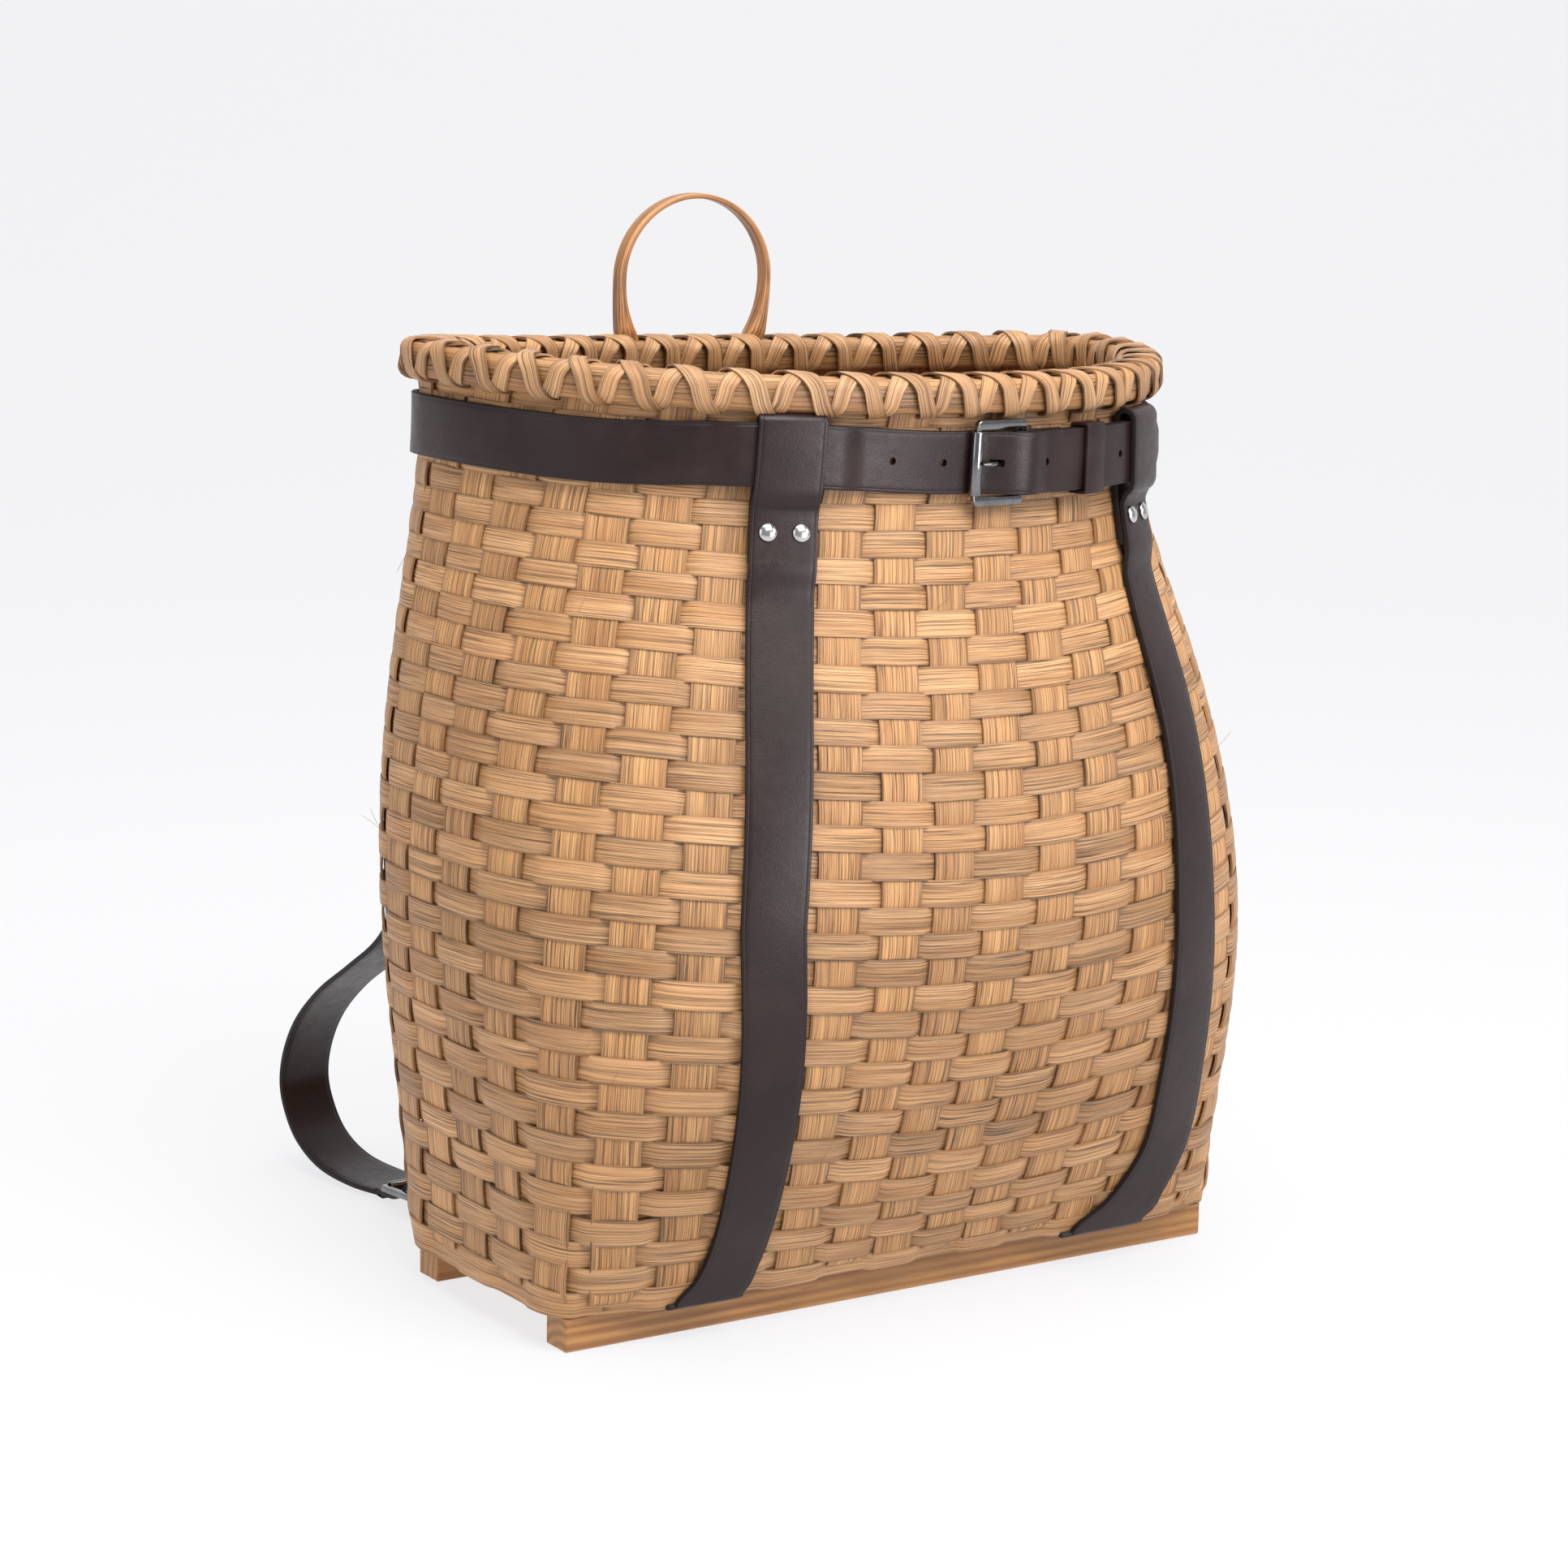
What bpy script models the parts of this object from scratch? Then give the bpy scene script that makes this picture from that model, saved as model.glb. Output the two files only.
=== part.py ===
# Pack basket: a woven splint body on two wooden runners, with a laced rim, a bentwood
# carrying handle and a leather harness of one belt, two body straps and two shoulder straps.
# Metres, +Z up, -Y is the front. The origin is the middle of the front runner's underside.
import math

import bmesh
import bpy
import numpy as np
from mathutils import Matrix, Vector

CLEAR = 0.0003
CUT_OVERRUN = 0.004
PROBE = 0.001
FINE_STEPS = 1440
STEP = 0.008

# Runners, 3/4 inch stock
RUNNER_LENGTH = 0.407
RUNNER_DEPTH = 0.0195
RUNNER_HEIGHT = 0.0183
RUNNER_SPACING = 0.1325
RUNNER_EDGE = 0.0008
SCREW_SPACING = 0.184
SCREW_SHANK_RADIUS = 0.0018
SCREW_HEAD_RADIUS = 0.0045
SCREW_HEAD_HEIGHT = 0.0022
SCREW_HEAD_SHARES = ((0.0, 1.0), (0.6, 0.85), (0.95, 0.4), (1.0, 0.0))
SCREW_BITE = 0.0125

# Leather
STRAP_WIDTH = 0.038
STRAP_THICK = 0.0028
BELT_WIDTH = 0.03175
BELT_THICK = 0.003
KEEPER_THICK = 0.0016

# Woven body: half sizes of its outer face at five heights, as shares of the belly's
WALL = 0.004
RIM_HEIGHT = 0.4795
BELLY_HALF_WIDTH = 0.232
BELLY_FRONT = 0.155
BELLY_BACK = 0.150
HEIGHT_SHARES = (0.0, 0.18, 0.42, 0.70, 1.0)
WIDTH_SHARES = (0.918, 0.940, 1.0, 0.951, 0.907)
FRONT_SHARES = (0.590, 0.816, 1.0, 0.860, 0.719)
BACK_SHARES = (0.633, 0.875, 0.985, 1.050, 0.923)
ROUND_SHARES = (0.24, 0.45, 0.68, 0.83, 0.95)
WIDEST_LINE_AT_RIM = 0.058
WIDEST_SHARES = (0.0, 0.23, 0.54, 0.88, 1.0)
RIM_TILT = 0.009
RIM_SADDLE = 0.0034
RIM_LEAN = 0.0024
STRAIGHT_FROM = 0.88
BAND_SHARES = (0.0, 0.06, 0.14, 0.25, 0.38, 0.52, 0.65, 0.75, 0.83, STRAIGHT_FROM, 0.94, 1.0)
RING_SIDES = 44

# Rim: half-round hoops inside and outside the wall, a filler between them, and the lacing
HOOP_THICK = 0.0075
HOOP_HEIGHT = 0.017
HOOP_FLAT_SHARE = 0.56
HOOP_REST = 0.0006
FILLER_SHARES = ((-1.0, 0.0), (1.0, 0.0), (1.0, 0.7), (0.5, 1.0), (-0.5, 1.0), (-1.0, 0.7))
LACE_WIDTH = 0.0095
LACE_THICK = 0.0011
LACE_LOOPS = 24
LACE_REST = 0.0007
LACE_CLOSER_SHARE = 0.2
LACE_SLOT_WIDTH = 0.0155

# Bentwood handle
HANDLE_SPAN = 0.0974
HANDLE_RISE = 0.079
HANDLE_DEPTH = 0.0086
HANDLE_SIDE_THICK = 0.0036
HANDLE_TOP_THICK = 0.0028
HANDLE_FOOT_WIDTH = 0.0135
HANDLE_CENTRE_X = -0.004
HANDLE_STEPS = 20
FLARE_STEPS = 5
HANDLE_SPRING_SHARE = 0.42
HANDLE_FOOT_SPAN_SHARE = 0.965
HANDLE_TAIL_END_GAP = 0.0015

# Belt and its buckle, measured along the belt from the middle of the front
BELT_DROP = 0.0334
ROLLER_AT = 0.0046
BUCKLE_REACH = 0.0295
KEEPER_AT = 0.0805
KEEPER_LENGTH = 0.0175
BELT_TIP_PAST_STRAP = 0.037
LIFT_RAMP = 0.016
STRAP_SLANT = 0.005
BELT_TIP_TAPER = 0.02
BELT_TIP_WIDTH_SHARE = 0.35
HOLE_PITCH = 0.0295
HOLE_RADIUS = 0.0019
HOLE_COUNT = 6
HOLES_LEFT_OF_PRONG = 2
PRONG_HOLE_AT = 0.0126
PRONG_HOLE_LENGTH = 0.0068
FOLD_BACK = 0.030
BAR_WIDTH = 0.0032
FRAME_THICK = 0.0026
FRAME_ARM = 0.0052
FRAME_EDGE = 0.0005
FRAME_CORNER = 0.0028
FOLD_STEPS = 7
ROLLER_WALL = 0.0009
PRONG_RADIUS = 0.0012
PRONG_EYE_START = math.radians(195)
PRONG_EYE_TURN = math.radians(285)
EYE_STEPS = 11
# Each row: share of the reach from the heel bar, and of the height of the eye (below) or roller (above)
PRONG_SHARES = (
    (0.26, -1.0),
    (0.49, -0.92),
    (0.573, -0.35),
    (0.615, 0.45),
    (0.68, 0.88),
    (0.78, 1.0),
    (0.98, 1.0),
)
KEEPER_SLACK = 0.00075

# Rivets
RIVET_CAP_RADIUS = 0.00475
RIVET_CAP_HEIGHT = 0.0022
RIVET_SHANK_RADIUS = 0.0015
RIVET_BACK_THICK = 0.0008
RIVET_BACK_RADIUS = 0.0036
RIVET_CAP_SHARES = ((0.0, 1.0), (0.45, 0.9), (0.8, 0.6), (1.0, 0.15), (0.97, 0.0))
RIVET_SPACING = 0.0165
RIVET_BELOW_BELT = 0.0195
LOOP_TAIL = 0.034

# Straps across the body: X at the base, the belly and the belt
LEFT_STRAP_X = (-0.122, -0.128, -0.0965)
RIGHT_STRAP_X = (0.133, 0.137, 0.1285)
REAR_STRAP_X = (0.172, 0.136, 0.100)
STRAP_X_SHARES = (0.0, 0.42, 0.93)
STRAP_SHARES = (-0.5, -0.17, 0.17, 0.5)
TIP_WIDTH_SHARES = (0.35, 0.85)
LOOP_STEPS = 6
CORNER_STEPS = 4
DOWN_ROWS = 13
BACK_ROWS = 7
UNDER_BASE_SHARES = (-1.0, -0.34, 0.34, 1.0)
LAST_WALL_SHARE = 0.02

# Rear buckles lie behind the base, and the shoulder straps hang in a slack loop behind them
REAR_BUCKLE_X = 0.142
REAR_ROLLER_Y = 0.186
REAR_SLOPE = 0.12
REAR_PLANE_REACH = 0.222
REAR_KEEPER_GAP = 0.025
REAR_KEEPER_LENGTH = 0.012
REAR_BILLET_OVER = 0.040
REAR_FOLD_BACK = 0.017
SLACK_REACH = 0.300
SLACK_RISE = 0.155
SLACK_X = 0.158
SLACK_LEAVES_SHARE = 0.47
SLACK_TWIST_SHARE = 0.333
# Each row: share of the reach behind the middle, share of the rise, share of the way out to SLACK_X
SLACK_SHARES = (
    (0.760, 0.016, 0.40),
    (0.850, 0.040, 0.75),
    (0.920, 0.105, 0.95),
    (0.968, 0.205, 1.0),
    (0.986, 0.310, 1.0),
    (0.966, 0.440, 1.0),
    (0.915, 0.575, 1.0),
    (0.830, 0.715, 0.95),
    (0.720, 0.850, 0.88),
    (0.620, 0.985, 0.80),
    (0.540, 1.180, 0.65),
)

# Layers of leather, as distances of their middles from the body or the lying plane
ON_BODY = 2 * CLEAR + STRAP_THICK / 2
UNDER_BASE = CLEAR + STRAP_THICK / 2
BELT_ON_BODY = 2 * CLEAR + BELT_THICK / 2
TAIL_N = CLEAR + RIVET_BACK_THICK + CLEAR + STRAP_THICK / 2
MAIN_N = TAIL_N + STRAP_THICK / 2 + CLEAR + BELT_THICK / 2
BILLET_N = MAIN_N + BELT_THICK + 2 * CLEAR
OVER_BELT_N = MAIN_N + BELT_THICK / 2 + CLEAR + STRAP_THICK / 2
OVER_BILLET_N = BILLET_N + BELT_THICK / 2 + CLEAR + STRAP_THICK / 2
RIVETED_N = TAIL_N + STRAP_THICK + CLEAR
BAR_REACH = math.hypot(BAR_WIDTH, FRAME_THICK) / 2
FOLD_RADIUS = BAR_REACH + CLEAR + BELT_THICK / 2
HEEL_N = BELT_ON_BODY + FOLD_RADIUS
HEEL_TOP_N = HEEL_N + FOLD_RADIUS
OVER_HEEL_N = HEEL_TOP_N + BELT_THICK + 3 * CLEAR
ROLLER_INNER = BAR_REACH + CLEAR
ROLLER_RADIUS = ROLLER_INNER + ROLLER_WALL
ROLLER_N = BELT_ON_BODY + BELT_THICK / 2 + 2 * CLEAR + ROLLER_RADIUS
FOLD_END_N = MAIN_N - BELT_THICK - CLEAR

BASE_Z = RUNNER_HEIGHT + STRAP_THICK + 2 * CLEAR
BODY_HEIGHT = RIM_HEIGHT - BASE_Z
BELT_SHARE = 1.0 - BELT_DROP / BODY_HEIGHT
ALL_ROUND = [2 * math.pi * i / RING_SIDES for i in range(RING_SIDES)]
UP = Vector((0.0, 0.0, 1.0))
ALONG_X = Vector((1.0, 0.0, 0.0))


def clear_scene():
    for obj in list(bpy.data.objects):
        bpy.data.objects.remove(obj, do_unlink=True)


def make_material(name, colour, roughness, metallic=0.0):
    material = bpy.data.materials.new(name)
    material.use_nodes = True
    shader = material.node_tree.nodes["Principled BSDF"]
    shader.inputs["Base Color"].default_value = (*colour, 1.0)
    shader.inputs["Roughness"].default_value = roughness
    shader.inputs["Metallic"].default_value = metallic
    return material


clear_scene()
basket = bpy.data.collections.new("pack_basket")
cutters = bpy.data.collections.new("cutters")
bpy.context.scene.collection.children.link(basket)
bpy.context.scene.collection.children.link(cutters)
centre = bpy.data.objects.new("basket_centre", None)
centre.location = (0.0, RUNNER_SPACING / 2, 0.0)
basket.objects.link(centre)

SPLINT = make_material("splint", (0.49, 0.30, 0.14), 0.62)
HOOP_WOOD = make_material("hoop_wood", (0.52, 0.31, 0.14), 0.55)
STAINED_WOOD = make_material("stained_wood", (0.30, 0.15, 0.065), 0.5)
HANDLE_WOOD = make_material("handle_wood", (0.44, 0.20, 0.08), 0.45)
LEATHER = make_material("leather", (0.034, 0.021, 0.020), 0.38)
CHROME = make_material("chrome", (0.55, 0.55, 0.56), 0.16, 1.0)
STEEL = make_material("steel", (0.45, 0.45, 0.46), 0.35, 1.0)


# Building blocks


def add_object(name, data, material, collection=basket):
    obj = bpy.data.objects.new(name, data)
    if material:
        data.materials.append(material)
    collection.objects.link(obj)
    obj.parent = centre
    return obj


def as_cutter(obj):
    obj.hide_render = True
    obj.display_type = "WIRE"
    return obj


def mesh_of(name, vertices, faces):
    mesh = bpy.data.meshes.new(name)
    mesh.from_pydata([tuple(v) for v in vertices], [], faces)
    work = bmesh.new()
    work.from_mesh(mesh)
    bmesh.ops.recalc_face_normals(work, faces=work.faces)
    work.to_mesh(mesh)
    work.free()
    return mesh


def smooth_edges(obj, angle=math.radians(35)):
    obj.data.shade_smooth()
    obj.data.set_sharp_from_angle(angle=angle)


def cut(obj, cutter, operation="DIFFERENCE"):
    modifier = obj.modifiers.new("cut_" + cutter.name, "BOOLEAN")
    modifier.operation = operation
    modifier.solver = "EXACT"
    modifier.object = cutter


def frame_matrix(origin, x_axis, z_axis):
    """The matrix of a local frame: X along x_axis, Z as near z_axis as it can be."""
    x = Vector(x_axis).normalized()
    z = Vector(z_axis)
    z = (z - x * z.dot(x)).normalized()
    y = z.cross(x)
    matrix = Matrix((x, y, z)).transposed().to_4x4()
    matrix.translation = Vector(origin)
    return matrix


def place(obj, matrix):
    obj.matrix_local = matrix
    return obj


def cylinder_mesh(name, radius, length, matrices, sides=12):
    """One mesh of equal cylinders, each along the local Z of its matrix."""
    mesh = bpy.data.meshes.new(name)
    work = bmesh.new()
    for matrix in matrices:
        bmesh.ops.create_cone(
            work, cap_ends=True, segments=sides, radius1=radius, radius2=radius, depth=length, matrix=matrix
        )
    work.to_mesh(mesh)
    work.free()
    return mesh


def box_mesh(name, sizes, matrix=Matrix.Identity(4)):
    mesh = bpy.data.meshes.new(name)
    work = bmesh.new()
    bmesh.ops.create_cube(work, size=1.0, matrix=matrix @ Matrix.Diagonal((*sizes, 1.0)))
    work.to_mesh(mesh)
    work.free()
    return mesh


def mesh_from_curve(name, curve, material):
    """The evaluated mesh of a curve, its caps welded, as a new object in the curve's place."""
    graph = bpy.context.evaluated_depsgraph_get()
    mesh = bpy.data.meshes.new_from_object(curve.evaluated_get(graph))
    work = bmesh.new()
    work.from_mesh(mesh)
    bmesh.ops.remove_doubles(work, verts=work.verts, dist=CLEAR / 30)
    work.to_mesh(mesh)
    work.free()
    local = curve.matrix_local.copy()
    bpy.data.objects.remove(curve, do_unlink=True)
    mesh.materials.clear()
    return place(add_object(name, mesh, material), local)


def flat_outline(name, outlines, half_depth, material, edge=0.0):
    """A flat 2D curve, filled and extruded along its local Z. Later outlines are holes."""
    curve = bpy.data.curves.new(name, "CURVE")
    curve.dimensions = "2D"
    curve.fill_mode = "BOTH"
    curve.extrude = half_depth - edge
    curve.bevel_depth = edge
    curve.bevel_resolution = 0
    curve.offset = -edge
    for outline in outlines:
        spline = curve.splines.new("POLY")
        spline.points.add(len(outline) - 1)
        for point, (x, y) in zip(spline.points, outline):
            point.co = (x, y, 0.0, 1.0)
        spline.use_cyclic_u = True
    return add_object(name, curve, material)


def rounded_rectangle(left, right, half_height, radius, steps=4):
    corners = (
        (right - radius, half_height - radius, 0.0),
        (left + radius, half_height - radius, 0.5),
        (left + radius, radius - half_height, 1.0),
        (right - radius, radius - half_height, 1.5),
    )
    outline = []
    for x, y, turn in corners:
        for step in range(steps + 1):
            angle = math.pi * (turn + 0.5 * step / steps)
            outline.append((x + radius * math.cos(angle), y + radius * math.sin(angle)))
    return outline


def turned(name, profile, material, steps=20):
    """A turned solid about its local Z. The profile runs down its outer side, top to bottom."""
    mesh = bpy.data.meshes.new(name)
    mesh.from_pydata([(r, 0.0, z) for r, z in profile], [(i, i + 1) for i in range(len(profile) - 1)], [])
    obj = add_object(name, mesh, material)
    screw = obj.modifiers.new("turn", "SCREW")
    screw.steps = steps
    screw.render_steps = steps
    screw.use_merge_vertices = True
    screw.merge_threshold = CLEAR / 30
    return obj


def strip(name, rows, thick, material):
    """A strap or a lace: an open grid of rows of points, with Solidify on both sides."""
    size = len(rows[0])
    vertices = [point for row in rows for point in row]
    faces = []
    for i in range(len(rows) - 1):
        for j in range(size - 1):
            k = i * size + j
            faces.append((k, k + 1, k + size + 1, k + size))
    obj = add_object(name, mesh_of(name, vertices, faces), material)
    solid = obj.modifiers.new("thickness", "SOLIDIFY")
    solid.thickness = thick
    solid.offset = 0.0
    solid.use_even_offset = True
    smooth_edges(obj)
    return obj


def row_at(point, across, width, shares):
    return [point + across * (width * share) for share in shares]


def spread(keys, step):
    """Points through the keys (along, out): out eases between keys, at most one step apart."""
    result = [keys[0]]
    for (a0, n0), (a1, n1) in zip(keys, keys[1:]):
        count = max(1, math.ceil(abs(a1 - a0) / step))
        for i in range(1, count + 1):
            f = i / count
            ease = f * f * (3 - 2 * f)
            result.append((a0 + (a1 - a0) * f, n0 + (n1 - n0) * ease))
    return result


def through(points, per_span):
    """A Catmull-Rom curve through the points, sampled evenly in each span."""
    padded = [points[0] * 2 - points[1], *points, points[-1] * 2 - points[-2]]
    result = []
    for p0, p1, p2, p3 in zip(padded, padded[1:], padded[2:], padded[3:]):
        for i in range(per_span):
            f = i / per_span
            bend = (p0 * 2 - p1 * 5 + p2 * 4 - p3) * f**2 + (p1 * 3 - p0 - p2 * 3 + p3) * f**3
            result.append((p1 * 2 + (p2 - p0) * f + bend) / 2)
    result.append(points[-1].copy())
    return result


def along_path(points):
    """Unit directions along a path, one for each point."""
    last = len(points) - 1
    return [(points[min(i + 1, last)] - points[max(i - 1, 0)]).normalized() for i in range(last + 1)]


# The body's surface


def shaped(shares, share):
    """A smooth profile through the shares, straight from the belt's lower edge to the rim."""
    fit = np.polyfit(HEIGHT_SHARES, shares, len(shares) - 1)
    if share <= STRAIGHT_FROM:
        return float(np.polyval(fit, share))
    low = float(np.polyval(fit, STRAIGHT_FROM))
    return low + (shares[-1] - low) * (share - STRAIGHT_FROM) / (1.0 - STRAIGHT_FROM)


def ring(share):
    """Half width, half depths in front and behind, widest line and exponent at this height."""
    widest = WIDEST_LINE_AT_RIM * shaped(WIDEST_SHARES, share)
    half = BELLY_HALF_WIDTH * shaped(WIDTH_SHARES, share)
    front = BELLY_FRONT * shaped(FRONT_SHARES, share) + widest
    back = BELLY_BACK * shaped(BACK_SHARES, share) - widest
    return half, front, back, widest, 2.0 / shaped(ROUND_SHARES, share)


def body_point(share, turn):
    """The outer face at a height share and an angle, which runs from +X towards the back."""
    half, front, back, widest, power = ring(share)
    c = math.cos(turn)
    s = math.sin(turn)
    x = math.copysign(abs(c) ** (2 / power), c)
    y = math.copysign(abs(s) ** (2 / power), s)
    rise = -RIM_TILT * c + RIM_SADDLE * math.cos(2 * turn) - RIM_LEAN * s
    depth = front if s < 0 else back
    tilted = min(1.0, share / STRAIGHT_FROM) ** 3
    return Vector((half * x, depth * y + widest, BASE_Z + BODY_HEIGHT * share + tilted * rise))


def face(share, turn):
    """A place on the outer face, and the unit directions out of it, up it and round it."""
    up = body_point(share + PROBE, turn) - body_point(share - PROBE, turn)
    along = (body_point(share, turn + PROBE) - body_point(share, turn - PROBE)).normalized()
    out = along.cross(up).normalized()
    return body_point(share, turn), out, out.cross(along), along


def turn_at(share, x, front=True):
    """The angle at which the body's outer face has this X."""
    half, _, _, _, power = ring(share)
    turn = math.acos(math.copysign((abs(x) / half) ** (power / 2), x))
    return -turn if front else turn


def rim_place(turn):
    """The middle of the wall at the rim, the level direction outwards, and the way up along the wall."""
    point, out, _, _ = face(1.0, turn)
    level = Vector((out.x, out.y, 0.0))
    lean = out.z / level.length
    level.normalize()
    return point - level * (WALL / 2), level, UP - level * lean


def sweep_rim(name, section, turns, closed, material):
    """A hoop round the rim: a section of (out, up) places, measured from the middle of the wall's top."""
    vertices = []
    for turn in turns:
        middle, level, up = rim_place(turn)
        for out_by, up_by in section:
            vertices.append(middle + level * out_by + up * up_by)
    size = len(section)
    rows = len(turns)
    faces = []
    for i in range(rows if closed else rows - 1):
        n = (i + 1) % rows
        for j in range(size):
            k = (j + 1) % size
            faces.append((i * size + j, n * size + j, n * size + k, i * size + k))
    if not closed:
        faces.append(tuple(range(size)))
        faces.append(tuple(reversed(range((rows - 1) * size, rows * size))))
    obj = add_object(name, mesh_of(name, vertices, faces), material)
    smooth_edges(obj)
    return obj


# Runners and their screws


def screw_places(side):
    return [Vector((x * SCREW_SPACING, side * RUNNER_SPACING / 2, BASE_Z + WALL + CLEAR)) for x in (-1, 0, 1)]


def make_runner(name, side):
    middle = Matrix.Translation((0.0, side * RUNNER_SPACING / 2, RUNNER_HEIGHT / 2))
    runner = add_object(
        name, box_mesh(name, (RUNNER_LENGTH, RUNNER_DEPTH, RUNNER_HEIGHT), middle), STAINED_WOOD
    )
    bevel = runner.modifiers.new("edges", "BEVEL")
    bevel.width = RUNNER_EDGE
    bevel.segments = 1
    return runner


def make_screw(name, at):
    tip = at.z - RUNNER_HEIGHT + SCREW_BITE
    profile = [(SCREW_HEAD_RADIUS * r, SCREW_HEAD_HEIGHT * z) for r, z in SCREW_HEAD_SHARES]
    profile += [(SCREW_SHANK_RADIUS, 0.0), (SCREW_SHANK_RADIUS, SCREW_SHANK_RADIUS - tip), (0.0, -tip)]
    screw = turned(name, profile, STEEL, steps=12)
    screw.location = at
    return screw


front_runner = make_runner("front_runner", -1)
rear_runner = make_runner("rear_runner", 1)
screw_matrices = []
for row, side in (("front", -1), ("rear", 1)):
    for place_name, at in zip(("left", "middle", "right"), screw_places(side)):
        make_screw(f"{row}_runner_screw_{place_name}", at)
        depth = at.z - RUNNER_HEIGHT + SCREW_BITE + CLEAR
        screw_matrices.append(Matrix.Translation(at - UP * (depth / 2 - CLEAR)))
screw_holes = as_cutter(
    add_object(
        "screw_holes",
        cylinder_mesh("screw_holes", SCREW_SHANK_RADIUS + CLEAR, depth + 2 * CLEAR, screw_matrices),
        None,
        cutters,
    )
)
cut(front_runner, screw_holes)
cut(rear_runner, screw_holes)


# Woven body


def make_body():
    vertices = []
    for share in BAND_SHARES:
        vertices += [body_point(share, turn) for turn in ALL_ROUND]
    faces = []
    for low in range(0, (len(BAND_SHARES) - 1) * RING_SIDES, RING_SIDES):
        for i in range(RING_SIDES):
            n = (i + 1) % RING_SIDES
            faces.append((low + i, low + n, low + RING_SIDES + n, low + RING_SIDES + i))
    faces.append(tuple(reversed(range(RING_SIDES))))
    body = add_object("basket_body", mesh_of("basket_body", vertices, faces), SPLINT)
    shell = body.modifiers.new("wall", "SOLIDIFY")
    shell.thickness = WALL
    shell.offset = -1.0
    shell.use_even_offset = True
    smooth_edges(body)
    return body


body = make_body()
cut(body, screw_holes)


# Rim


def hoop_section(side):
    """Half of the rim's rounded section, flat against the wall. side is 1 outside, -1 inside."""
    inner = WALL / 2 + HOOP_REST
    outer = inner + HOOP_THICK
    high = HOOP_HEIGHT / 2
    half = [(inner, high), (outer * HOOP_FLAT_SHARE, high), (outer, high * HOOP_FLAT_SHARE)]
    return [(side * out, up) for out, up in half] + [(side * out, -up) for out, up in reversed(half)]


def filler_section():
    half_width = WALL / 2 - CLEAR
    height = HOOP_HEIGHT / 2 - CLEAR
    return [(half_width * out, CLEAR + (height - CLEAR) * up) for out, up in FILLER_SHARES]


def rim_shares():
    """Shares of the rim's length from the middle of the handle, and their angles."""
    first = turn_at(1.0, HANDLE_CENTRE_X, front=False)
    turns = [first + 2 * math.pi * i / FINE_STEPS for i in range(FINE_STEPS + 1)]
    places = [body_point(1.0, turn) for turn in turns]
    lengths = np.cumsum([0.0] + [(b - a).length for a, b in zip(places, places[1:])])
    return lengths, turns


RIM_LENGTHS, RIM_TURNS = rim_shares()


def lace_length(loops):
    """How far round the rim the lacing is after some loops: closer together beside the handle."""
    share = loops / LACE_LOOPS
    share -= LACE_CLOSER_SHARE * math.sin(2 * math.pi * share) / (2 * math.pi)
    return share * float(RIM_LENGTHS[-1])


def on_rim(length, out_by, up_by):
    middle, level, up = rim_place(float(np.interp(length, RIM_LENGTHS, RIM_TURNS)))
    return middle + level * out_by + up * up_by


def lace_rows(direction, layer):
    """One winding round the rim, from the middle of the handle: its rows and its middle line."""
    lift = LACE_REST + LACE_THICK / 2 + layer * (LACE_THICK + 2 * CLEAR)
    wide = WALL / 2 + HOOP_REST + HOOP_THICK + lift
    high = HOOP_HEIGHT / 2 + lift
    flat = HOOP_FLAT_SHARE
    section = [(1, -flat), (1, flat), (flat, 1), (-flat, 1), (-1, flat), (-1, -flat), (-flat, -1), (flat, -1)]
    size = len(section)
    rows = []
    points = []
    for i in range(LACE_LOOPS * size - size // 2):
        out_share, up_share = section[i % size]
        length = lace_length((i + 1.5) / size)
        if direction < 0:
            length = float(RIM_LENGTHS[-1]) - length
        ends = [on_rim(length + LACE_WIDTH * end, wide * out_share, high * up_share) for end in (-0.5, 0.5)]
        rows.append(ends)
        points.append((ends[0] + ends[1]) / 2)
    return rows, points, size


def least_gap(points, skip):
    """The least distance between the loops of a winding, less the lace's own width."""
    co = np.array([tuple(p) for p in points])
    apart = np.linalg.norm(co[:, None] - co[None], axis=2)
    index = np.arange(len(co))
    apart[abs(index[:, None] - index[None]) < skip] = math.inf
    return float(apart.min()) - LACE_WIDTH


def lace_slots():
    """One closed box for each place where the lacing passes through the wall, under the hoops."""
    height = 2 * (LACE_THICK + LACE_REST) + 4 * CLEAR
    up_by = -(HOOP_HEIGHT / 2 + LACE_REST + LACE_THICK + CLEAR)
    mesh = bpy.data.meshes.new("lace_slots")
    work = bmesh.new()
    for i in range(1, LACE_LOOPS):
        here = on_rim(lace_length(i), 0.0, up_by)
        ahead = on_rim(lace_length(i) + CUT_OVERRUN, 0.0, up_by)
        sizes = Matrix.Diagonal((LACE_SLOT_WIDTH, WALL + 2 * CUT_OVERRUN, height, 1.0))
        bmesh.ops.create_cube(work, size=1.0, matrix=frame_matrix(here, ahead - here, UP) @ sizes)
    work.to_mesh(mesh)
    work.free()
    return as_cutter(add_object("lace_slots", mesh, None, cutters))


def foot_turns(grow):
    """The angles of the left and right edges of the two handle feet, from right to left."""
    middle = HANDLE_SPAN / 2 * HANDLE_FOOT_SPAN_SHARE - HANDLE_FOOT_WIDTH / 2
    half = HANDLE_FOOT_WIDTH / 2 + grow
    places = (middle + half, middle - half, half - middle, -half - middle)
    return [turn_at(1.0, HANDLE_CENTRE_X + place, front=False) for place in places]


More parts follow.
